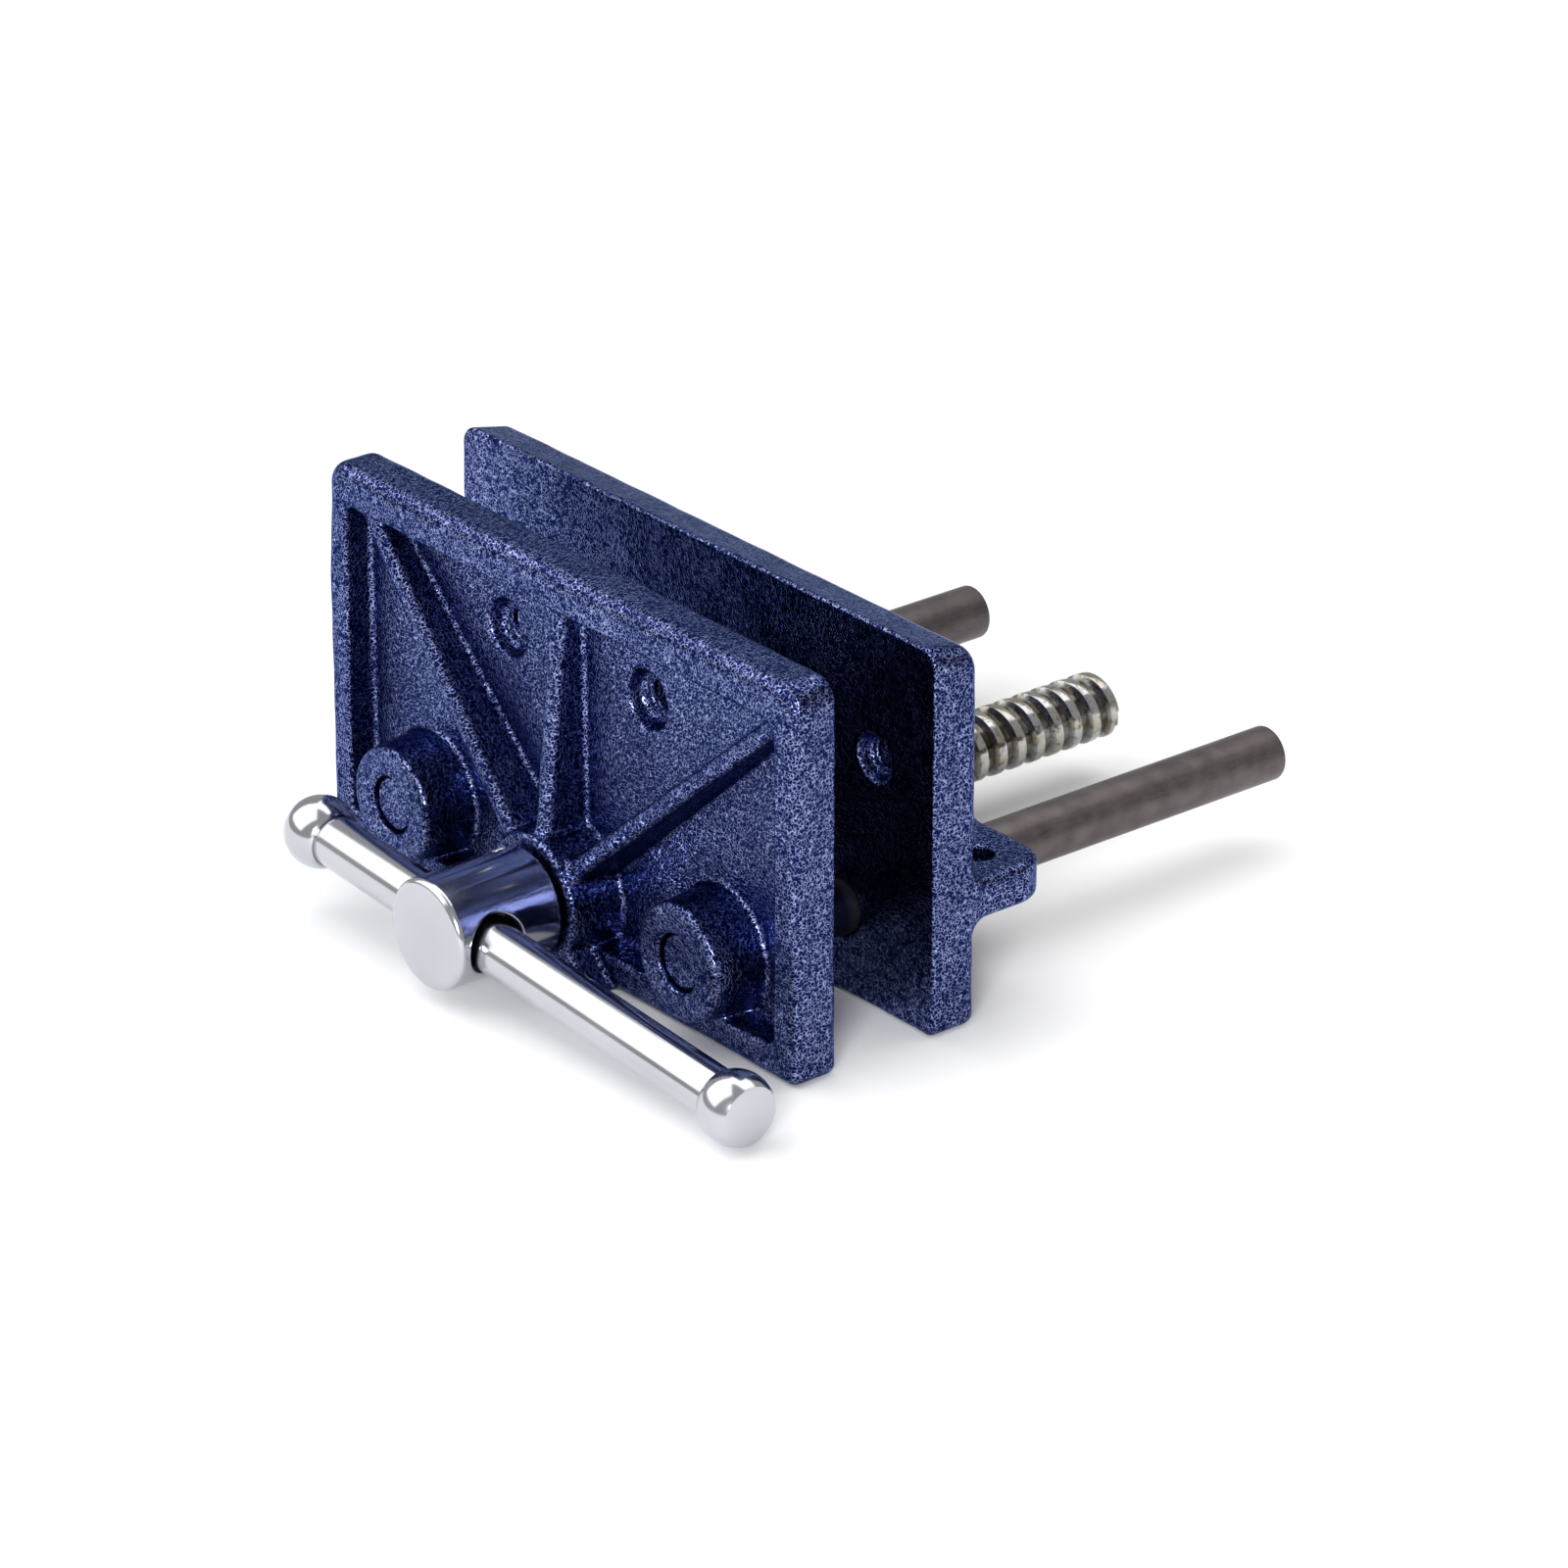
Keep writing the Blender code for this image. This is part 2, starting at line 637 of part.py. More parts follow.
def build_collar(parent):
    collar = turned(
        "retaining_collar", PIECES, ring_profile(SCREW_R + GAP, COLLAR_R, COLLAR_THICK, 0.0006),
        along_y(0, collar_y(), SCREW_Z), 36, ring=True,
    )
    pin_y = collar_y() + COLLAR_THICK / 2
    half = COLLAR_R - 0.0006
    hole = cutter(
        "collar_pin_hole", COLLAR_PIN_R + GAP, (-COLLAR_R - 0.002, pin_y, SCREW_Z),
        (COLLAR_R + 0.002, pin_y, SCREW_Z), 16,
    )
    cut(collar, hole)
    finish_piece(collar, "zinc_steel", parent)
    pin = turned(
        "collar_pin", PIECES, chamfered_rod(2 * half, COLLAR_PIN_R, 0.0004),
        Matrix.Translation((-half, pin_y, SCREW_Z)) @ Matrix.Rotation(math.pi / 2, 4, "Y"), 20,
    )
    finish_piece(pin, "black_steel", parent)


def head_pin_place(radius_from_axis):
    """A point on the head pin's axis, which lies across the screw behind the bar."""
    y = HEAD_BACK_Y - TENON_LENGTH / 2
    return Vector((
        radius_from_axis * math.sin(HEAD_PIN_ANGLE + HANDLE_TILT), y,
        SCREW_Z + radius_from_axis * math.cos(HEAD_PIN_ANGLE + HANDLE_TILT),
    ))


def head_pin_tool(name, radius, inner, outer):
    return cutter(name, radius, head_pin_place(-inner), head_pin_place(-outer), 16)


def handle_axis_point(distance):
    """A point on the handle bar's axis, measured to the right from the screw's axis."""
    right = Vector((math.cos(HANDLE_TILT), 0.0, -math.sin(HANDLE_TILT)))
    down = Vector((-math.sin(HANDLE_TILT), 0.0, -math.cos(HANDLE_TILT)))
    return Vector((0.0, BAR_Y, SCREW_Z)) + right * distance + down * BAR_DROP


def build_screw_head(parent):
    length, chamfer = HEAD_LENGTH, HEAD_CHAMFER
    head = turned("screw_head", PIECES, chamfered_rod(length, HEAD_R, chamfer), along_y(0, HEAD_FRONT_Y, SCREW_Z), 48)
    bore = cutter(
        "tenon_bore", TENON_R + GAP, (0, HEAD_BACK_Y - TENON_LENGTH - GAP, SCREW_Z),
        (0, HEAD_BACK_Y + 0.002, SCREW_Z), 32,
    )
    right = handle_axis_point(1.0) - handle_axis_point(0.0)
    middle = Vector((0.0, BAR_Y, SCREW_Z))
    bar_hole = cutter("bar_hole", BAR_HOLE_R, middle - right * 0.016, middle + right * 0.016, 40)
    cut(head, bore, bar_hole, head_pin_tool("head_pin_hole", HEAD_PIN_R + GAP, 0.0045, HEAD_R + 0.002))
    finish_piece(head, "chrome", parent)

    start, end = head_pin_place(-0.003), head_pin_place(-(HEAD_R - 0.0006))
    pin_turn = (end - start).to_track_quat("Z", "Y").to_matrix().to_4x4()
    pin = turned(
        "head_pin", PIECES, chamfered_rod((end - start).length, HEAD_PIN_R, 0.0004),
        Matrix.Translation(start) @ pin_turn, 20,
    )
    finish_piece(pin, "black_steel", parent)


def knob_profile():
    """A ball cut off at both ends, from its domed outer end to its neck, then its blind bore."""
    start, end = math.asin(KNOB_OUTER / KNOB_R), -math.asin(KNOB_INNER / KNOB_R)
    points = [(0.0, KNOB_OUTER + KNOB_DOME)]
    count = 7
    for i in range(count + 1):
        angle = start + (end - start) * i / count
        points.append((KNOB_R * math.cos(angle), KNOB_R * math.sin(angle)))
    bore_r = BAR_R + GAP
    points.append((bore_r, -KNOB_INNER))
    points.append((bore_r, KNOB_BORE_DEPTH - KNOB_INNER))
    points.append((0.0, KNOB_BORE_DEPTH - KNOB_INNER))
    return points


def build_handle(parent):
    left = handle_axis_point(HANDLE_SHIFT - KNOB_SPAN / 2)
    right = handle_axis_point(HANDLE_SHIFT + KNOB_SPAN / 2)
    along = (right - left).normalized()
    turn = along.to_track_quat("Z", "Y").to_matrix().to_4x4()
    turn_back = (-along).to_track_quat("Z", "Y").to_matrix().to_4x4()
    inside = KNOB_BORE_DEPTH - KNOB_INNER - GAP
    bar_length = KNOB_SPAN + 2 * inside
    bar = turned(
        "handle_bar", PIECES, chamfered_rod(bar_length, BAR_R, 0.0005),
        Matrix.Translation(left - along * inside) @ turn, 36,
    )
    finish_piece(bar, "chrome", parent)
    for name, centre, facing in (("handle_knob_left", left, turn_back), ("handle_knob_right", right, turn)):
        knob = turned(name, PIECES, knob_profile(), Matrix.Translation(centre) @ facing, 30)
        finish_piece(knob, "chrome", parent)


clear_scene()
PIECES = make_collection("bench_vise")
TOOLS = make_collection("bench_vise_cutters")

front_slide = empty_at("front_slide", Matrix.Translation((0, RIM_Y, ROD_Z)), PIECES)
screw_axis = empty_at("screw_axis", Matrix.Translation((0, BAR_Y, SCREW_Z)), PIECES, front_slide)
handle_axis = empty_at(
    "handle_axis",
    Matrix.Translation(handle_axis_point(0.0)) @ Matrix.Rotation(HANDLE_TILT, 4, "Y"),
    PIECES, screw_axis,
)

build_rear_jaw()
build_lead_nut()
build_front_jaw(front_slide)
for side_name, side_sign in (("left", -1), ("right", 1)):
    build_guide_rod(f"guide_rod_{side_name}", side_sign * ROD_X, front_slide)
    build_rod_pin(f"rod_pin_{side_name}", side_sign * ROD_X, front_slide)
build_thrust_washer(front_slide)
build_lead_screw(screw_axis)
build_collar(screw_axis)
build_screw_head(screw_axis)
build_handle(handle_axis)
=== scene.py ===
import json
import math

import bmesh
import bpy
import numpy as np
from mathutils import Matrix, Vector


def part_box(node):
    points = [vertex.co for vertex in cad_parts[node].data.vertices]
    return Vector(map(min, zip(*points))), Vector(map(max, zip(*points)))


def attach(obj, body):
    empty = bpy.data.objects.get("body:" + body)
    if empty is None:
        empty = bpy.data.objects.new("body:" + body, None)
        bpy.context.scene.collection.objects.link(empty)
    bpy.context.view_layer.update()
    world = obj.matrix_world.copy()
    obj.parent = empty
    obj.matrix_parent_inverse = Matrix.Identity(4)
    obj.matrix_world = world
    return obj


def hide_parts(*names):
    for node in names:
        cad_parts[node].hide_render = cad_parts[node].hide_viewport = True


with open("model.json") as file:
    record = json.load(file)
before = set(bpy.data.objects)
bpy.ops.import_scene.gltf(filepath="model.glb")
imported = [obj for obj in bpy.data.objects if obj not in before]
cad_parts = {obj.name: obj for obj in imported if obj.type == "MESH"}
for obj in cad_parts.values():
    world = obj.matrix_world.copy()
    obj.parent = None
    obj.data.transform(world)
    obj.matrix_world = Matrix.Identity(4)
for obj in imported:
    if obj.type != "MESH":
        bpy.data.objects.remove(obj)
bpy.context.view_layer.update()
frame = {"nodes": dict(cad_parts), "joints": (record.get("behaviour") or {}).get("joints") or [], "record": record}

MM = 0.001


# ---------------------------------------------------------------- places and sizes from the frame

class Span:
    """Where a CAD node lies: its lowest and highest corner, middle, and half size."""

    def __init__(self, node):
        self.low, self.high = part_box(node)
        self.mid = (self.low + self.high) / 2
        self.half = (self.high - self.low) / 2


FRONT = Span("front_jaw")
REAR = Span("rear_jaw")
ROD = Span("guide_rod_right")
SCREW = Span("lead_screw")
HEAD = Span("screw_head")
NUT = Span("lead_nut")
MOUNTS = {mount["name"]: Vector(mount["pos_m"]) for mount in frame["record"]["mounts"]}
JOINTS = {joint["name"]: joint for joint in frame["joints"]}

# Planes and axes that the CAD model sets
JAW_BOTTOM = FRONT.low.z
FRONT_FACE_Y = MOUNTS["front_cheek_face"].y
REAR_FACE_Y = MOUNTS["rear_cheek_face"].y
REAR_BACK_Y = MOUNTS["bench_edge_face"].y
FLANGE_TOP = MOUNTS["bench_underside"].z
BOSS_Y = FRONT.low.y
ROD_X = ROD.mid.x
ROD_Z = ROD.mid.z
ROD_R = ROD.half.x
SCREW_Z = SCREW.mid.z
SCREW_R = SCREW.half.x
HEAD_R = HEAD.half.x
HANDLE_AXIS = Vector(JOINTS["handle_slide"]["axis"])

# Both castings
FRONT_TOP_CORNER = 6.2 * MM
REAR_TOP_CORNER = 5.0 * MM
BOTTOM_CORNER = 2.8 * MM
HOLE_R = 3.25 * MM
SINK_DEPTH = 4.0 * MM
SINK_SLOPE = 0.30
BORE_GAP = 0.3 * MM

# The front casting: a rim round a recess, three bosses and three ribs
BOSS_PROUD = 7.0 * MM
RIM_Y = BOSS_Y + BOSS_PROUD
RECESS_DEPTH = 6.5 * MM
FLOOR_Y = RIM_Y + RECESS_DEPTH
RECESS_DRAFT = 0.16
RECESS_CORNER = 3.0 * MM
RIM_SIDE = 7.5 * MM
RIM_TOP = 9.5 * MM
RIM_BOTTOM = 7.8 * MM
# The rim's front edge is rounder along the top of the jaw, from one height to the other
RIM_ROUND = 2.6 * MM
RIM_ROUND_AT_TOP = 4.2 * MM
RIM_ROUND_HEIGHTS = (30.0 * MM, 50.0 * MM)
CHEEK_FACE_ROUND = 3.2 * MM
ROD_BOSS_R = 13.4 * MM
SCREW_BOSS_R = 15.0 * MM
BOSS_DRAFT = 0.07
BOSS_ROUND = 1.6 * MM
# Each rib's outer end: x, z, and how far its crest lies behind the rim there
RIB_ENDS = (
    (-68.0 * MM, 50.0 * MM, 0.8 * MM),
    (0.0, 52.0 * MM, 1.0 * MM),
    (75.0 * MM, 49.0 * MM, 0.8 * MM),
)
RIB_CREST_AT_BOSS = 1.4 * MM
RIB_HALF = 2.2 * MM
RIB_DRAFT = 0.13
RIB_CREST_ROUND = 2.0 * MM
RIB_FILLET = 1.3 * MM
BOSS_FILLET = 1.5 * MM
CHEEK_HOLE = (24.5 * MM, 35.2 * MM)
CHEEK_SINK_R = 6.8 * MM
ROD_PIN_R = 2.8 * MM
POCKET_R = 15.0 * MM
POCKET_DEPTH = 9.0 * MM

# The rear casting: a plate with a bench flange, two rod bosses and a nut boss
REAR_TOP_FALL = 2.8 * MM
REAR_FACE_ROUND = 1.1 * MM
REAR_BACK_ROUND = 3.4 * MM
FLANGE_THICK = 9.5 * MM
FLANGE_HALF = 82.0 * MM
FLANGE_REAR_Y = 11.8 * MM
FLANGE_CORNER = 9.0 * MM
FLANGE_ROUND = 2.0 * MM
FLANGE_FILLET = 4.0 * MM
REAR_ROD_BOSS_R = 12.2 * MM
REAR_ROD_BOSS_END_Y = 12.3 * MM
NUT_BOSS_R = 15.8 * MM
NUT_BOSS_END_Y = REAR.high.y
NUT_BORE_R = 12.3 * MM
REAR_BOSS_FILLET = 3.0 * MM
BENCH_HOLE_X = 70.5 * MM
BENCH_HOLE_R = 3.4 * MM
EDGE_HOLE = (62.0 * MM, 25.8 * MM)
EDGE_SINK_R = 5.5 * MM

# The lead screw and its nut
SCREW_ROOT_R = 6.4 * MM
SCREW_PITCH = 5.6 * MM
THREAD_FRONT_Y = FRONT_FACE_Y + 2.0 * MM
THREAD_PLAY = 0.35 * MM
NUT_BARREL_R = 12.0 * MM
NUT_FLANGE_THICK = 3.0 * MM
NUT_CHAMFER = 0.4 * MM

# The chromed head, bar and knobs
HEAD_CHAMFER = 0.9 * MM
CROSS_HOLE_R = 6.8 * MM
HEAD_PIN_HOLE_R = 2.3 * MM
KNOB_R = 8.3 * MM
KNOB_INNER = 5.2 * MM
KNOB_OUTER = 4.8 * MM
KNOB_DOME = 0.6 * MM

# The paint over the front ends of the guide rods
PAINT_FILM = 0.15 * MM
PAINT_ROUND = 0.9 * MM
PAINT_DEPTH = 1.2 * MM

TURNED_STEPS = 96
THREAD_STEPS = 80
SHARP_ANGLE = math.radians(35.0)

# Grid cells that the castings and the chromed head are meshed on
CASTING_CELL = 0.65 * MM
HEAD_CELL = 0.35 * MM


# ---------------------------------------------------------------- solids as distance fields
# A field gives each point's signed distance to a surface, negative inside.

def soft_min(a, b, k):
    """Joins two fields, with a fillet about k wide in the corner between them."""
    h = np.maximum(k - np.abs(a - b), 0.0) / k
    return np.minimum(a, b) - h * h * k * 0.25


def soft_max(a, b, k):
    """Keeps what lies in both fields, with the edge between them rounded."""
    return -soft_min(-a, -b, k)


def ramp(value, start, end):
    """0 before start and 1 after end, smooth between them."""
    t = np.clip((value - start) / (end - start), 0.0, 1.0)
    return t * t * (3.0 - 2.0 * t)


def rectangle(x, z, low, high, top_corner, bottom_corner):
    """A rectangle in a plane, with rounded corners."""
    mid_x, mid_z = (low[0] + high[0]) / 2, (low[1] + high[1]) / 2
    corner = np.where(z > mid_z, top_corner, bottom_corner)
    dx = np.abs(x - mid_x) - (high[0] - low[0]) / 2 + corner
    dz = np.abs(z - mid_z) - (high[1] - low[1]) / 2 + corner
    outer = np.hypot(np.maximum(dx, 0.0), np.maximum(dz, 0.0))
    return np.minimum(np.maximum(dx, dz), 0.0) + outer - corner


def slab(outline, depth, edge):
    """An outline with thickness, its edges rounded to the radius edge."""
    a, b = outline + edge, depth + edge
    outer = np.hypot(np.maximum(a, 0.0), np.maximum(b, 0.0))
    return np.minimum(np.maximum(a, b), 0.0) + outer - edge


def between(y, low, high):
    return np.maximum(low - y, y - high)


def round_along_y(x, z, at_x, at_z, radius):
    return np.hypot(x - at_x, z - at_z) - radius


def wobble(x, z):
    """The slow unevenness of a sand-cast surface, from 0 inwards."""
    across = np.sin(x * 310.0 + 1.7 * np.sin(z * 170.0))
    up = np.sin(z * 270.0 + 1.3 * np.sin(x * 140.0 + 2.0))
    return 0.07 * MM * (1.0 + across * up)


def sunk_hole(x, y, z, at_x, at_z, mouth_y, sink_r):
    """A screw hole along Y, with a steep-sided cast counterbore at mouth_y."""
    radius = np.hypot(x - at_x, z - at_z)
    cup = soft_max(radius - sink_r + SINK_SLOPE * (y - mouth_y), y - mouth_y - SINK_DEPTH, 1.4 * MM)
    return soft_min(cup, radius - HOLE_R, 0.6 * MM)


# ---------------------------------------------------------------- the two castings

def rib_field(x, y, z, end):
    """A rib from the screw boss to the rim, its crest falling from the boss towards the rim."""
    end_x, end_z, end_depth = end
    reach = Vector((end_x, end_z - SCREW_Z))
    ux, uz = reach.normalized()
    along = x * ux + (z - SCREW_Z) * uz
    across = x * uz - (z - SCREW_Z) * ux
    start_y = BOSS_Y + RIB_CREST_AT_BOSS
    crest_y = start_y + (RIM_Y + end_depth - start_y) * along / reach.length
    side = (np.abs(across) - RIB_HALF - RIB_DRAFT * (y - crest_y)) / math.hypot(1.0, RIB_DRAFT)
    ridge = soft_max(side, crest_y - y, RIB_CREST_ROUND)
    return soft_max(ridge, along - reach.length, 1.0 * MM)


def front_boss(x, y, z, at_x, at_z, radius):
    side = round_along_y(x, z, at_x, at_z, radius + BOSS_DRAFT * (y - BOSS_Y))
    return soft_max(side, BOSS_Y - y, BOSS_ROUND)


def front_casting_field(x, y, z):
    outline = rectangle(
        x, z, (FRONT.low.x, JAW_BOTTOM), (FRONT.high.x, FRONT.high.z), FRONT_TOP_CORNER, BOTTOM_CORNER,
    )
    middle_y = (RIM_Y + FRONT_FACE_Y) / 2
    rim_round = RIM_ROUND + (RIM_ROUND_AT_TOP - RIM_ROUND) * ramp(z, *RIM_ROUND_HEIGHTS)
    edge = np.where(y < middle_y, rim_round, CHEEK_FACE_ROUND)
    plate = slab(outline, between(y, RIM_Y, FRONT_FACE_Y), edge)
    recess_outline = rectangle(
        x, z, (FRONT.low.x + RIM_SIDE, JAW_BOTTOM + RIM_BOTTOM),
        (FRONT.high.x - RIM_SIDE, FRONT.high.z - RIM_TOP), RECESS_CORNER, RECESS_CORNER,
    )
    recess = soft_max(recess_outline + RECESS_DRAFT * (y - RIM_Y), y - FLOOR_Y, 1.5 * MM)
    body = soft_max(plate, -recess, 0.9 * MM)
    ribs = None
    for end in RIB_ENDS:
        rib = rib_field(x, y, z, end)
        ribs = rib if ribs is None else soft_min(ribs, rib, 1.2 * MM)
    body = soft_min(body, ribs, RIB_FILLET)
    bosses = front_boss(x, y, z, 0.0, SCREW_Z, SCREW_BOSS_R)
    for side in (-1, 1):
        bosses = np.minimum(bosses, front_boss(x, y, z, side * ROD_X, ROD_Z, ROD_BOSS_R))
    body = soft_min(body, bosses, BOSS_FILLET)
    body = soft_max(body, np.maximum(outline, BOSS_Y - y), 0.8 * MM)
    body = np.maximum(body + wobble(x, z), y - FRONT_FACE_Y)
    for side in (-1, 1):
        hole = sunk_hole(x, y, z, side * CHEEK_HOLE[0], CHEEK_HOLE[1], FLOOR_Y, CHEEK_SINK_R)
        body = soft_max(body, -hole, 1.0 * MM)
        rod_bore = round_along_y(x, z, side * ROD_X, ROD_Z, ROD_R + BORE_GAP)
        body = soft_max(body, -rod_bore, 0.7 * MM)
        pin_bore = np.maximum(np.hypot(x - side * ROD_X, y - middle_y) - ROD_PIN_R, z - ROD_Z)
        body = soft_max(body, -pin_bore, 0.5 * MM)
    body = soft_max(body, -round_along_y(x, z, 0.0, SCREW_Z, SCREW_R + BORE_GAP), 0.5 * MM)
    pocket = np.maximum(
        round_along_y(x, z, 0.0, SCREW_Z, POCKET_R), FRONT_FACE_Y - POCKET_DEPTH - y,
    )
    return soft_max(body, -pocket, 0.5 * MM)


def rear_casting_field(x, y, z):
    fall = REAR_TOP_FALL * (y - REAR_FACE_Y) / (REAR_BACK_Y - REAR_FACE_Y)
    outline = rectangle(
        x, z + fall * ramp(z, 0.0, 40.0 * MM), (REAR.low.x, JAW_BOTTOM), (REAR.high.x, REAR.high.z),
        REAR_TOP_CORNER, BOTTOM_CORNER,
    )
    middle_y = (REAR_FACE_Y + REAR_BACK_Y) / 2
    edge = np.where(y < middle_y, REAR_FACE_ROUND, REAR_BACK_ROUND)
    body = slab(outline, between(y, REAR_FACE_Y, REAR_BACK_Y), edge)
    flange_outline = rectangle(
        x, y, (-FLANGE_HALF, -40.0 * MM), (FLANGE_HALF, FLANGE_REAR_Y), FLANGE_CORNER, 1.0 * MM,
    )
    flange = slab(flange_outline, between(z, FLANGE_TOP - FLANGE_THICK, FLANGE_TOP), FLANGE_ROUND)
    flange = np.maximum(flange, middle_y - y)
    body = soft_min(body, flange, FLANGE_FILLET)
    bosses = soft_max(
        round_along_y(x, z, 0.0, SCREW_Z, NUT_BOSS_R),
        between(y, middle_y, NUT_BOSS_END_Y), BOSS_ROUND,
    )
    for side in (-1, 1):
        rod_boss = soft_max(
            round_along_y(x, z, side * ROD_X, ROD_Z, REAR_ROD_BOSS_R),
            between(y, middle_y, REAR_ROD_BOSS_END_Y), BOSS_ROUND,
        )
        bosses = np.minimum(bosses, rod_boss)
    body = soft_min(body, bosses, REAR_BOSS_FILLET)
    inside_box = np.maximum(between(x, REAR.low.x, REAR.high.x), JAW_BOTTOM - z)
    body = soft_max(body, inside_box, 0.8 * MM) + wobble(x, z)
    for side in (-1, 1):
        rod_bore = round_along_y(x, z, side * ROD_X, ROD_Z, ROD_R + BORE_GAP)
        body = soft_max(body, -rod_bore, 0.6 * MM)
        hole = sunk_hole(x, y, z, side * EDGE_HOLE[0], EDGE_HOLE[1], REAR_FACE_Y, EDGE_SINK_R)
        body = soft_max(body, -hole, 0.9 * MM)
        bench_hole = np.hypot(x - side * BENCH_HOLE_X, y) - BENCH_HOLE_R
        body = soft_max(body, -np.maximum(bench_hole, between(z, -20.0 * MM, 10.0 * MM)), 0.9 * MM)
    nut_front_y = NUT.low.y - BORE_GAP
    nut_bore = np.maximum(round_along_y(x, z, 0.0, SCREW_Z, NUT_BORE_R), nut_front_y - y)
    screw_bore = round_along_y(x, z, 0.0, SCREW_Z, SCREW_R + 2 * BORE_GAP)
    body = soft_max(body, -np.minimum(nut_bore, screw_bore), 0.5 * MM)
    set_screw = Span("nut_set_screw")
    set_bore = np.hypot(x - set_screw.mid.x, y - set_screw.mid.y) - set_screw.half.x - BORE_GAP
    return soft_max(body, -np.maximum(set_bore, z - SCREW_Z), 0.4 * MM)


def head_field(x, y, z):
    """The chromed screw head: a chamfered cylinder with a cross hole for the bar and a pin hole."""
    radial = round_along_y(x, z, 0.0, SCREW_Z, HEAD_R)
    axial = between(y, HEAD.low.y, HEAD.high.y)
    body = soft_max(radial, axial, 0.5 * MM)
    body = soft_max(body, (radial + axial + HEAD_CHAMFER) / math.sqrt(2.0), 0.5 * MM)
    bar = Span("handle_bar")
    across = x * HANDLE_AXIS.z - (z - SCREW_Z) * HANDLE_AXIS.x
    cross_hole = np.hypot(across, y - bar.mid.y) - CROSS_HOLE_R
    body = soft_max(body, -cross_hole, 0.9 * MM)
    pin = Span("head_pin")
    aim = Vector((pin.mid.x, pin.mid.z - SCREW_Z)).normalized()
    off = x * aim.y - (z - SCREW_Z) * aim.x
    outward = x * aim.x + (z - SCREW_Z) * aim.y
    pin_hole = np.maximum(np.hypot(off, y - pin.mid.y) - HEAD_PIN_HOLE_R, -outward)
    return soft_max(body, -pin_hole, 0.3 * MM)


# ---------------------------------------------------------------- fields to meshes

def gradient(field, points):
    """A field's slope at some points, from its change over a hundredth of a millimetre each way."""
    step = 0.01 * MM
    parts = []
    for axis in range(3):
        ahead, behind = points.copy(), points.copy()
        ahead[:, axis] += step
        behind[:, axis] -= step
        parts.append((field(*ahead.T) - field(*behind.T)) / (2 * step))
    return np.stack(parts, axis=1)


def crossings(values, corners, cell):
    """The mean of the points where the surface crosses each grid cell's twelve edges."""
    offsets = np.array([(i >> 2 & 1, i >> 1 & 1, i & 1) for i in range(8)], float)
    total = np.zeros((len(values), 3))
    count = np.zeros(len(values))
    for a in range(8):
        for b in range(a + 1, 8):
            if np.abs(offsets[a] - offsets[b]).sum() != 1:
                continue
            crossed = (values[:, a] < 0) != (values[:, b] < 0)
            gap = np.where(crossed, values[:, a] - values[:, b], 1.0)
            share = np.where(crossed, values[:, a] / gap, 0.0)[:, None]
            point = offsets[a] + share * (offsets[b] - offsets[a])
            total += np.where(crossed[:, None], point, 0.0)
            count += crossed
    return corners + cell * total / count[:, None]


def net_faces(inside, index):
    """One quad round each grid edge that the surface crosses."""
    faces = []
    for axis in range(3):
        low = [slice(1, -1)] * 3
        high = [slice(1, -1)] * 3
        low[axis] = slice(0, -1)
        high[axis] = slice(1, None)
        first, second = inside[tuple(low)], inside[tuple(high)]
        cells = np.argwhere(first != second)
        outward = first[tuple(cells.T)]
        b, c = (axis + 1) % 3, (axis + 2) % 3
        cells[:, b] += 1
        cells[:, c] += 1
        ring = []
        for step_b, step_c in ((-1, -1), (0, -1), (0, 0), (-1, 0)):
            near = cells.copy()
            near[:, b] += step_b
            near[:, c] += step_c
            ring.append(index[tuple(near.T)])
        quads = np.stack(ring, axis=1)
        faces.append(np.where(outward[:, None], quads, quads[:, ::-1]))
    return np.concatenate(faces)


def field_object(name, field, low, high, cell):
    """A smooth mesh of a field's surface between two corners, with the field's own normals."""
    axes = [np.arange(low[i] - 1.6 * cell, high[i] + 2.6 * cell, cell) for i in range(3)]
    values = field(*np.meshgrid(*axes, indexing="ij", sparse=True))
    inside = values < 0
    shape = [len(axis) - 1 for axis in axes]
    corner_slices = [
        tuple(slice(i >> (2 - n) & 1, shape[n] + (i >> (2 - n) & 1)) for n in range(3)) for i in range(8)
    ]
    filled = sum(inside[part].astype(np.int8) for part in corner_slices)
    active = (filled > 0) & (filled < 8)
    cells = np.argwhere(active)
    index = np.full(active.shape, -1, int)
    index[active] = np.arange(len(cells))
    corner_values = np.stack([values[part][active] for part in corner_slices], axis=1)
    corners = np.stack([axes[n][cells[:, n]] for n in range(3)], axis=1)
    points = crossings(corner_values, corners, cell)
    for _ in range(2):
        slope = gradient(field, points)
        move = slope * (field(*points.T) / np.maximum((slope ** 2).sum(axis=1), 0.1))[:, None]
        points -= np.clip(move, -0.4 * cell, 0.4 * cell)
    normals = gradient(field, points)
    normals /= np.maximum(np.linalg.norm(normals, axis=1), 1e-9)[:, None]
    mesh = bpy.data.meshes.new(name)
    mesh.from_pydata(points.tolist(), [], net_faces(inside, index).tolist())
    mesh.shade_smooth()
    mesh.normals_split_custom_set_from_vertices(normals.tolist())
    return link(name, mesh)


# ---------------------------------------------------------------- turned and threaded pieces

def link(name, mesh, matrix=None):
    obj = bpy.data.objects.new(name, mesh)
    bpy.context.scene.collection.objects.link(obj)
    if matrix is not None:
        obj.data.transform(matrix)
    return obj


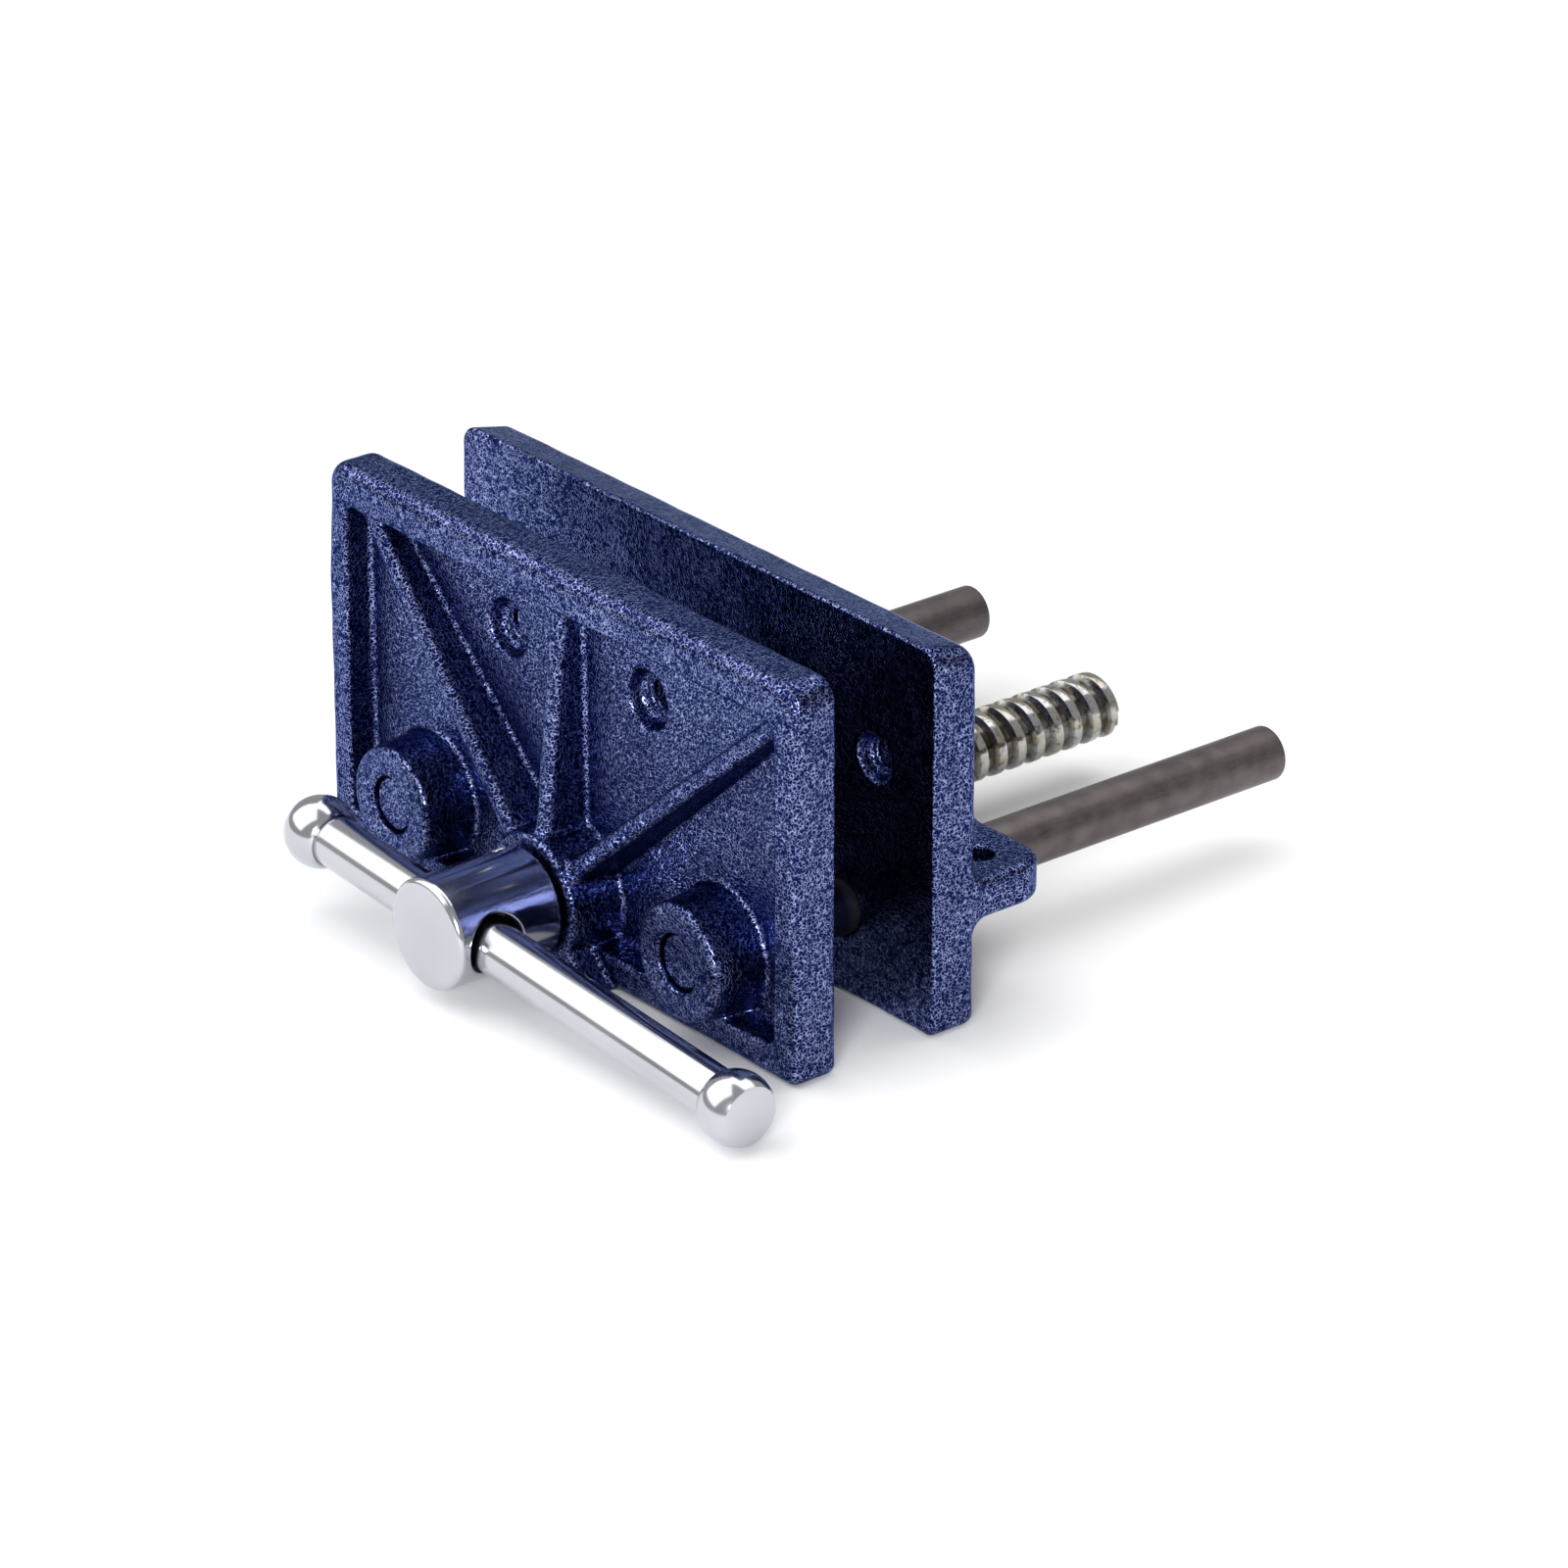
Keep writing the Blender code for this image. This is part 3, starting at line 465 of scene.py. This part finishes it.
def in_fixed_order(bm):
    """A bmesh's points and faces, in an order that is the same each run. Merging leaves no order."""
    verts = sorted(bm.verts, key=lambda vert: tuple(vert.co))
    number = {vert: i for i, vert in enumerate(verts)}
    faces = []
    for face in bm.faces:
        ring = [number[vert] for vert in face.verts]
        first = ring.index(min(ring))
        faces.append(ring[first:] + ring[:first])
    return [tuple(vert.co) for vert in verts], sorted(faces)


def mesh_object(name, bm, matrix):
    """An object from a bmesh, shaded smooth between its sharp edges."""
    bmesh.ops.recalc_face_normals(bm, faces=bm.faces)
    verts, faces = in_fixed_order(bm)
    bm.free()
    mesh = bpy.data.meshes.new(name)
    mesh.from_pydata(verts, [], faces)
    obj = link(name, mesh, matrix)
    mesh.shade_smooth()
    mesh.set_sharp_from_angle(angle=SHARP_ANGLE)
    return obj


def along(axis, at):
    """Places a turned piece with its local Z along axis."""
    return Matrix.Translation(at) @ Vector(axis).to_track_quat("Z", "Y").to_matrix().to_4x4()


def arc(center_r, center_h, radius, start, end, count):
    """(radius, height) points on an arc, its angles in degrees from the outward direction."""
    points = []
    for i in range(count + 1):
        angle = math.radians(start + (end - start) * i / count)
        points.append((center_r + radius * math.cos(angle), center_h + radius * math.sin(angle)))
    return points


def turned(name, profile, matrix):
    """Spins (radius, height) points round local Z."""
    bm = bmesh.new()
    loop = [bm.verts.new((radius, 0.0, height)) for radius, height in profile]
    edges = [bm.edges.new((loop[i], loop[i + 1])) for i in range(len(loop) - 1)]
    bmesh.ops.spin(
        bm, geom=loop + edges, cent=(0, 0, 0), axis=(0, 0, 1), angle=2 * math.pi, steps=TURNED_STEPS,
        use_merge=True,
    )
    bmesh.ops.remove_doubles(bm, verts=bm.verts, dist=1e-7)
    return mesh_object(name, bm, matrix)


def rod_profile(length, radius, edge):
    """A rod with rounded end edges, from its top centre to its bottom centre."""
    top = arc(radius - edge, length - edge, edge, 90, 0, 5)
    bottom = arc(radius - edge, edge, edge, 0, -90, 5)
    return [(0.0, length)] + top + bottom + [(0.0, 0.0)]


def thread_profile():
    """One pitch of the thread: place along it, and depth from the crest at 0 to the root at 1."""
    points = [(0.02, 0.04), (0.10, 0.0), (0.22, 0.0), (0.34, 0.0), (0.42, 0.04)]
    points += [(0.455, 0.22), (0.50, 0.80), (0.535, 0.97), (0.60, 1.0), (0.76, 1.0), (0.86, 0.97)]
    return points + [(0.90, 0.80), (0.985, 0.22)]


def thread_surface(low_y, high_y, root_r, crest_r, end_r):
    """An open right-hand helical surface round +Y, clamped to a ring of radius end_r at its ends."""
    profile = thread_profile()
    bm = bmesh.new()
    turns = math.ceil((high_y - low_y) / SCREW_PITCH) + 3
    rows = []
    for step in range(-2 * THREAD_STEPS, turns * THREAD_STEPS):
        angle = -2 * math.pi * step / THREAD_STEPS
        row = []
        for place, depth in profile:
            y = low_y + SCREW_PITCH * (step / THREAD_STEPS + place)
            radius = crest_r + (root_r - crest_r) * depth
            if y <= low_y or y >= high_y:
                y = min(max(y, low_y), high_y)
                radius = end_r
            row.append(bm.verts.new((radius * math.cos(angle), y, radius * math.sin(angle))))
        rows.append(row)
    for here in range(len(rows) - 1):
        for k in range(len(profile) - 1):
            bm.faces.new((rows[here][k], rows[here + 1][k], rows[here + 1][k + 1], rows[here][k + 1]))
        turn = here + THREAD_STEPS
        if turn + 1 < len(rows):
            bm.faces.new((rows[here][-1], rows[here + 1][-1], rows[turn + 1][0], rows[turn][0]))
    bmesh.ops.remove_doubles(bm, verts=bm.verts, dist=2e-6)
    bmesh.ops.delete(bm, geom=[v for v in bm.verts if not v.link_faces], context="VERTS")
    return bm


def ring_at(bm, y):
    """The boundary edges that lie at one place along Y."""
    boundary = [edge for edge in bm.edges if edge.is_boundary]
    return [edge for edge in boundary if all(abs(vert.co.y - y) < 1e-6 for vert in edge.verts)]


def grow_ring(bm, edges, y, radius):
    """Extrudes a boundary ring to a new place along Y and a new radius."""
    grown = bmesh.ops.extrude_edge_only(bm, edges=edges)["geom"]
    for vert in (item for item in grown if isinstance(item, bmesh.types.BMVert)):
        flat = Vector((vert.co.x, 0.0, vert.co.z)).normalized() * radius
        vert.co = Vector((flat.x, y, flat.z))
    return [item for item in grown if isinstance(item, bmesh.types.BMEdge)]


def close_rings(bm, edges, outline):
    """Carries a boundary ring on through the (y, radius) points of an outline."""
    for y, radius in outline:
        edges = grow_ring(bm, edges, y, radius)
    return edges


# ---------------------------------------------------------------- material nodes

class Graph:
    """A material's node tree, with short calls to add nodes and link sockets."""

    def __init__(self, name):
        self.material = bpy.data.materials.new(name)
        self.material.use_nodes = True
        self.tree = self.material.node_tree
        self.shader = self.tree.nodes["Principled BSDF"]
        self.place = self.add("ShaderNodeTexCoord").outputs["Object"]

    def add(self, kind, inputs=None, **settings):
        node = self.tree.nodes.new(kind)
        for key, value in settings.items():
            setattr(node, key, value)
        for key, value in (inputs or {}).items():
            self.feed(node.inputs[key], value)
        return node

    def feed(self, socket, value):
        if isinstance(value, bpy.types.NodeSocket):
            self.tree.links.new(value, socket)
        else:
            socket.default_value = value

    def math(self, operation, a, b, clamp=False):
        node = self.add("ShaderNodeMath", {0: a, 1: b}, operation=operation, use_clamp=clamp)
        return node.outputs[0]

    def scaled(self, scale):
        mapping = self.add("ShaderNodeMapping", {"Vector": self.place, "Scale": scale})
        return mapping.outputs["Vector"]

    def noise(self, scale, detail=2.0, vector=None, roughness=0.5):
        node = self.add("ShaderNodeTexNoise", {
            "Vector": vector or self.place, "Scale": scale, "Detail": detail, "Roughness": roughness,
        })
        return node.outputs[0]

    def span(self, value, low, high, out_low=0.0, out_high=1.0):
        """Maps low..high to out_low..out_high, held at both ends."""
        node = self.add("ShaderNodeMapRange", {
            "Value": value, "From Min": low, "From Max": high, "To Min": out_low, "To Max": out_high,
        })
        return node.outputs[0]

    def mix(self, share, a, b):
        node = self.add("ShaderNodeMix", data_type="RGBA")
        self.feed(node.inputs[0], share)
        for socket, value in ((node.inputs[6], a), (node.inputs[7], b)):
            self.feed(socket, value if isinstance(value, bpy.types.NodeSocket) else (*value, 1.0))
        return node.outputs[2]

    def bump(self, height, distance, strength):
        inputs = {"Height": height, "Distance": distance, "Strength": strength}
        return self.add("ShaderNodeBump", inputs).outputs["Normal"]

    def finish(self, **inputs):
        for key, value in inputs.items():
            self.feed(self.shader.inputs[key.replace("_", " ")], value)
        return self.material


def enamel_material():
    """Hammered enamel: a near-black navy ground under a fine, crisp network of bright metal flake."""
    g = Graph("hammered_enamel")
    warp = g.add("ShaderNodeTexNoise", {"Vector": g.place, "Scale": 620.0, "Detail": 2.0})
    shifted = g.add(
        "ShaderNodeVectorMath", {0: warp.outputs["Color"], 1: (0.5, 0.5, 0.5)}, operation="SUBTRACT",
    )
    moved = g.add("ShaderNodeVectorMath", {0: shifted.outputs[0], "Scale": 0.0011}, operation="SCALE")
    place = g.add("ShaderNodeVectorMath", {0: g.place, 1: moved.outputs[0]}, operation="ADD").outputs[0]
    cells = g.add(
        "ShaderNodeTexVoronoi", {"Vector": place, "Scale": 1250.0}, feature="DISTANCE_TO_EDGE",
    ).outputs["Distance"]
    veins = g.span(cells, 0.012, 0.10, 1.0, 0.0)
    gaps = g.span(g.noise(1000.0, 2.0, place), 0.37, 0.54)
    network = g.math("MULTIPLY", veins, gaps)
    cloud = g.span(g.noise(60.0, 3.0), 0.35, 0.65, 0.75, 1.1)
    network = g.math("MULTIPLY", network, cloud, clamp=True)
    color = g.mix(network, (0.005, 0.0095, 0.060), (0.38, 0.44, 0.77))
    height = g.math("ADD", g.span(cells, 0.0, 0.35), g.noise(700.0, 3.0, place))
    normal = g.bump(height, 0.00009, 0.6)
    rough = g.span(g.noise(300.0, 3.0), 0.3, 0.7, 0.16, 0.26)
    return g.finish(
        Base_Color=color, Metallic=1.0, Roughness=rough, Normal=normal,
        Specular_Tint=(0.50, 0.58, 0.85, 1.0),
    )


def chrome_material():
    """Bright chrome plate, faintly smudged."""
    g = Graph("bright_chrome")
    smudge = g.noise(35.0, 4.0)
    fine = g.noise(1.0, 3.0, g.scaled((900.0, 900.0, 900.0)))
    color = g.mix(g.span(smudge, 0.35, 0.7), (0.48, 0.49, 0.525), (0.54, 0.55, 0.585))
    rough = g.math("ADD", g.span(smudge, 0.3, 0.75, 0.11, 0.19), g.math("MULTIPLY", fine, 0.02))
    normal = g.bump(g.noise(160.0, 2.0), 0.00002, 0.5)
    return g.finish(Base_Color=color, Metallic=1.0, Roughness=rough, Normal=normal)


def rod_material():
    """Cold drawn steel, darkened by oil, with die lines along the rod, and painted shade on its length in front of
    the rear jaw.
    """
    g = Graph("drawn_steel_bar")
    lines = g.noise(1.0, 4.0, g.scaled((2400.0, 220.0, 2400.0)), 0.6)
    patches = g.noise(190.0, 4.0)
    color = g.mix(g.span(patches, 0.3, 0.7), (0.078, 0.066, 0.070), (0.142, 0.119, 0.117))
    color = g.mix(g.span(lines, 0.35, 0.75, 0.0, 0.32), color, (0.19, 0.165, 0.168))
    apart = g.add("ShaderNodeSeparateXYZ", {0: g.place}).outputs["Y"]
    # Painted shade: the rod is darkened to near-black navy from its front end to the rear jaw's face, where it
    # lies in the shade between the jaws.
    painted_shade_in_jaw_gap = g.span(apart, REAR_FACE_Y - 3.0 * MM, REAR_FACE_Y + 3.0 * MM, 1.0, 0.0)
    color = g.mix(painted_shade_in_jaw_gap, color, (0.008, 0.009, 0.024))
    return g.finish(
        Base_Color=color, Metallic=0.85, Roughness=g.span(lines, 0.3, 0.7, 0.36, 0.5),
        Normal=g.bump(lines, 0.00004, 0.6),
    )


def zinc_material():
    """Yellow-white zinc plate over a rolled thread, with painted shade darkening the thread's roots."""
    g = Graph("zinc_plate")
    tint = g.noise(260.0, 3.0)
    grime = g.noise(700.0, 4.0)
    off_axis = g.add("ShaderNodeVectorMath", {0: g.place, 1: (0.0, 0.0, -SCREW_Z)}, operation="ADD")
    flat = g.add(
        "ShaderNodeVectorMath", {0: off_axis.outputs[0], 1: (1.0, 0.0, 1.0)}, operation="MULTIPLY",
    )
    radius = g.add("ShaderNodeVectorMath", {0: flat.outputs[0]}, operation="LENGTH").outputs["Value"]
    # Painted shade: the thread's roots are darkened towards near-black, more the deeper they lie between the
    # crests.
    depth = g.span(radius, SCREW_ROOT_R, SCREW_R, 1.0, 0.0)
    color = g.mix(g.span(tint, 0.45, 0.62, 0.0, 0.6), (0.47, 0.465, 0.46), (0.36, 0.32, 0.20))
    groove = g.math("MULTIPLY", depth, g.span(tint, 0.3, 0.6, 0.6, 1.0))
    color = g.mix(groove, color, (0.045, 0.038, 0.028))
    color = g.mix(g.span(grime, 0.52, 0.70, 0.0, 0.7), color, (0.07, 0.06, 0.045))
    return g.finish(
        Base_Color=color, Metallic=1.0, Roughness=g.span(grime, 0.3, 0.7, 0.10, 0.24),
        Normal=g.bump(g.noise(1800.0, 3.0), 0.00005, 0.5),
    )


def bronze_material():
    """Bronze with turning marks, tarnished in patches."""
    g = Graph("machined_bronze")
    turning = g.noise(1.0, 3.0, g.scaled((260.0, 3200.0, 260.0)))
    tarnish = g.noise(150.0, 4.0)
    color = g.mix(g.span(tarnish, 0.35, 0.7), (0.55, 0.34, 0.13), (0.26, 0.15, 0.06))
    return g.finish(
        Base_Color=color, Metallic=1.0, Roughness=g.span(turning, 0.3, 0.7, 0.24, 0.42),
        Normal=g.bump(turning, 0.00006, 0.6),
    )


def black_oxide_material():
    """Black oxide, worn through to steel in places."""
    g = Graph("black_oxide")
    wear = g.noise(900.0, 4.0)
    color = g.mix(g.span(wear, 0.5, 0.75), (0.02, 0.02, 0.022), (0.13, 0.125, 0.12))
    return g.finish(
        Base_Color=color, Metallic=0.8, Roughness=g.span(wear, 0.3, 0.7, 0.34, 0.5),
        Normal=g.bump(wear, 0.00004, 0.5),
    )


def floor_material():
    g = Graph("pale_floor")
    color = g.mix(g.noise(4.0, 2.0), (0.95, 0.95, 0.955), (0.965, 0.965, 0.97))
    return g.finish(Base_Color=color, Roughness=0.7, Specular_IOR_Level=0.2)


MATERIALS = {
    "blue_enamel": enamel_material(),
    "chrome": chrome_material(),
    "drawn_steel": rod_material(),
    "zinc_steel": zinc_material(),
    "bronze": bronze_material(),
    "black_steel": black_oxide_material(),
}


def wear(obj, slot):
    """Gives a piece the material of one of the record's slots."""
    obj.data.materials.clear()
    obj.data.materials.append(MATERIALS[slot])
    return obj


def stand_in(obj, slot, body, *nodes):
    """A finished piece that takes the place of CAD nodes and moves with their body."""
    wear(obj, slot)
    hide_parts(*nodes)
    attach(obj, body)
    return obj


# ---------------------------------------------------------------- pieces

def make_castings():
    front = field_object("front_casting", front_casting_field, FRONT.low, FRONT.high, CASTING_CELL)
    stand_in(front, "blue_enamel", "front", "front_jaw")
    rear = field_object("rear_casting", rear_casting_field, REAR.low, REAR.high, CASTING_CELL)
    stand_in(rear, "blue_enamel", "rear", "rear_jaw")


def make_guide_rods():
    for side, name in ((-1, "left"), (1, "right")):
        x = side * ROD_X
        length = ROD.high.y - ROD.low.y
        place = along((0, 1, 0), (x, ROD.low.y, ROD_Z))
        rod = turned(f"guide_bar_{name}", rod_profile(length, ROD_R, 0.7 * MM), place)
        stand_in(rod, "drawn_steel", "front", f"guide_rod_{name}")
        paint = [(0.0, 0.0)] + arc(ROD_R - PAINT_ROUND, PAINT_ROUND, PAINT_ROUND, -90, 0, 6)
        paint += [(ROD_R - PAINT_FILM, PAINT_DEPTH), (0.0, PAINT_DEPTH)]
        place = along((0, 1, 0), (x, ROD.low.y - PAINT_FILM, ROD_Z))
        cap = turned(f"painted_rod_end_{name}", paint, place)
        wear(cap, "blue_enamel")
        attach(cap, "front")


def make_lead_screw():
    edge = 1.0 * MM
    end_y = SCREW.high.y - edge
    bm = thread_surface(THREAD_FRONT_Y, end_y, SCREW_ROOT_R, SCREW_R, SCREW_ROOT_R)
    shoulder = (
        (THREAD_FRONT_Y - 0.6 * MM, SCREW_R), (HEAD.high.y + 1.0 * MM, SCREW_R),
        (HEAD.high.y + 0.4 * MM, SCREW_R - 0.6 * MM),
    )
    bmesh.ops.contextual_create(bm, geom=close_rings(bm, ring_at(bm, THREAD_FRONT_Y), shoulder))
    tip = ((end_y + 0.5 * edge, SCREW_ROOT_R - 0.2 * edge), (SCREW.high.y, SCREW_ROOT_R - edge))
    bmesh.ops.contextual_create(bm, geom=close_rings(bm, ring_at(bm, end_y), tip))
    screw = mesh_object("lead_screw_thread", bm, Matrix.Translation((0, 0, SCREW_Z)))
    stand_in(screw, "zinc_steel", "screw", "lead_screw")


def make_lead_nut():
    groove = SCREW_R + THREAD_PLAY
    bm = thread_surface(NUT.low.y, NUT.high.y, SCREW_ROOT_R + THREAD_PLAY, groove, groove)
    flange_r = NUT.half.x
    flange_y = NUT.high.y - NUT_FLANGE_THICK
    edge = NUT_CHAMFER
    outline = (
        (NUT.low.y, NUT_BARREL_R - edge), (NUT.low.y + edge, NUT_BARREL_R), (flange_y, NUT_BARREL_R),
        (flange_y, flange_r - edge), (flange_y + edge, flange_r), (NUT.high.y - edge, flange_r),
        (NUT.high.y, flange_r - edge), (NUT.high.y, groove),
    )
    close_rings(bm, ring_at(bm, NUT.low.y), outline)
    bmesh.ops.remove_doubles(bm, verts=bm.verts, dist=2e-6)
    nut = mesh_object("flanged_lead_nut", bm, Matrix.Translation((0, 0, SCREW_Z)))
    stand_in(nut, "bronze", "rear", "lead_nut")


def make_head():
    head = field_object("chromed_screw_head", head_field, HEAD.low, HEAD.high, HEAD_CELL)
    stand_in(head, "chrome", "screw", "screw_head")


def knob_profile(bar_r):
    """A ball with a slightly domed outer face and a flat inner one, bored to sit on the bar."""
    outer_angle = math.degrees(math.asin(KNOB_OUTER / KNOB_R))
    inner_angle = -math.degrees(math.asin(KNOB_INNER / KNOB_R))
    face_r = KNOB_R * math.cos(math.radians(outer_angle))
    profile = [(0.0, KNOB_OUTER + KNOB_DOME), (0.5 * face_r, KNOB_OUTER + 0.85 * KNOB_DOME)]
    profile += [(0.85 * face_r, KNOB_OUTER + 0.35 * KNOB_DOME)]
    profile += arc(0.0, 0.0, KNOB_R, outer_angle - 1.5, inner_angle + 3.0, 24)
    profile += [(KNOB_R * math.cos(math.radians(inner_angle)) - 0.2 * MM, -KNOB_INNER)]
    bore_r = bar_r + 0.05 * MM
    return profile + [(bore_r, -KNOB_INNER), (bore_r, 1.0 * MM), (0.0, 1.0 * MM)]


def make_handle():
    bar = Span("handle_bar")
    radius = bar.half.y
    length = (bar.high.x - bar.low.x - 2 * radius * abs(HANDLE_AXIS.z)) / HANDLE_AXIS.x
    start = bar.mid - HANDLE_AXIS * length / 2
    rod = turned("tommy_bar", rod_profile(length, radius, 0.5 * MM), along(HANDLE_AXIS, start))
    stand_in(rod, "chrome", "handle", "handle_bar")
    for name, facing in (("left", -1), ("right", 1)):
        reach = HANDLE_AXIS * facing
        centre = Span(f"handle_knob_{name}").mid - reach * (KNOB_OUTER + KNOB_DOME - KNOB_INNER) / 2
        knob = turned(f"ball_end_{name}", knob_profile(radius), along(reach, centre))
        stand_in(knob, "chrome", "handle", f"handle_knob_{name}")


def dress_small_pieces():
    """The pins, washer, collar and set screw keep their CAD shapes."""
    for part in frame["record"]["subparts"]:
        node = frame["nodes"][part["node"]]
        if not node.hide_render:
            wear(node, part["material_slot"])


# ---------------------------------------------------------------- floor, light and camera

FLOOR_HALF = 6.0
WORLD_LIGHT = 0.46
CAMERA_AZIMUTH = math.radians(50.825)
CAMERA_ELEVATION = math.radians(24.972)
CAMERA_DISTANCE = 1.692234
CAMERA_TARGET = Vector((0.000619, 0.003199, -0.009884))
CAMERA_LENS_MM = 175.04
CAMERA_SENSOR_MM = 36.0


def make_floor():
    bm = bmesh.new()
    bmesh.ops.create_grid(bm, x_segments=8, y_segments=8, size=FLOOR_HALF)
    mesh = bpy.data.meshes.new("floor")
    bm.to_mesh(mesh)
    bm.free()
    floor = link("floor", mesh, Matrix.Translation((0, 0, JAW_BOTTOM)))
    mesh.materials.append(floor_material())


def area_light(name, size, power, place):
    """A rectangular light aimed at the object's origin."""
    light = bpy.data.lights.new(name, "AREA")
    light.shape = "RECTANGLE"
    light.size, light.size_y = size
    light.energy = power
    obj = bpy.data.objects.new(name, light)
    bpy.context.scene.collection.objects.link(obj)
    facing = (-Vector(place)).to_track_quat("-Z", "Y").to_matrix().to_4x4()
    obj.matrix_world = Matrix.Translation(place) @ facing


def make_light():
    world = bpy.data.worlds.new("studio")
    bpy.context.scene.world = world
    world.use_nodes = True
    back = world.node_tree.nodes["Background"]
    back.inputs["Color"].default_value = (1.0, 1.0, 1.0, 1.0)
    back.inputs["Strength"].default_value = WORLD_LIGHT
    area_light("key", (2.8, 2.8), 40.0, (-1.0, -1.1, 1.6))
    area_light("top", (1.6, 1.2), 10.0, (-0.2, 0.6, 1.5))
    area_light("glint", (0.45, 0.45), 20.0, (1.05, -1.15, 0.55))


def make_camera():
    """The photograph's viewing angle, seen from a distance with a long lens."""
    level = math.cos(CAMERA_ELEVATION)
    back = Vector((
        math.sin(CAMERA_AZIMUTH) * level,
        -math.cos(CAMERA_AZIMUTH) * level,
        math.sin(CAMERA_ELEVATION),
    ))
    camera = bpy.data.cameras.new("camera")
    camera.lens = CAMERA_LENS_MM
    camera.sensor_width = CAMERA_SENSOR_MM
    obj = bpy.data.objects.new("camera", camera)
    bpy.context.scene.collection.objects.link(obj)
    obj.matrix_world = along(back, CAMERA_TARGET + back * CAMERA_DISTANCE)
    bpy.context.scene.camera = obj


make_camera()
make_castings()
make_guide_rods()
make_lead_screw()
make_lead_nut()
make_head()
make_handle()
dress_small_pieces()
make_floor()
make_light()
bpy.context.scene.view_settings.view_transform = "Standard"

bpy.context.view_layer.update()
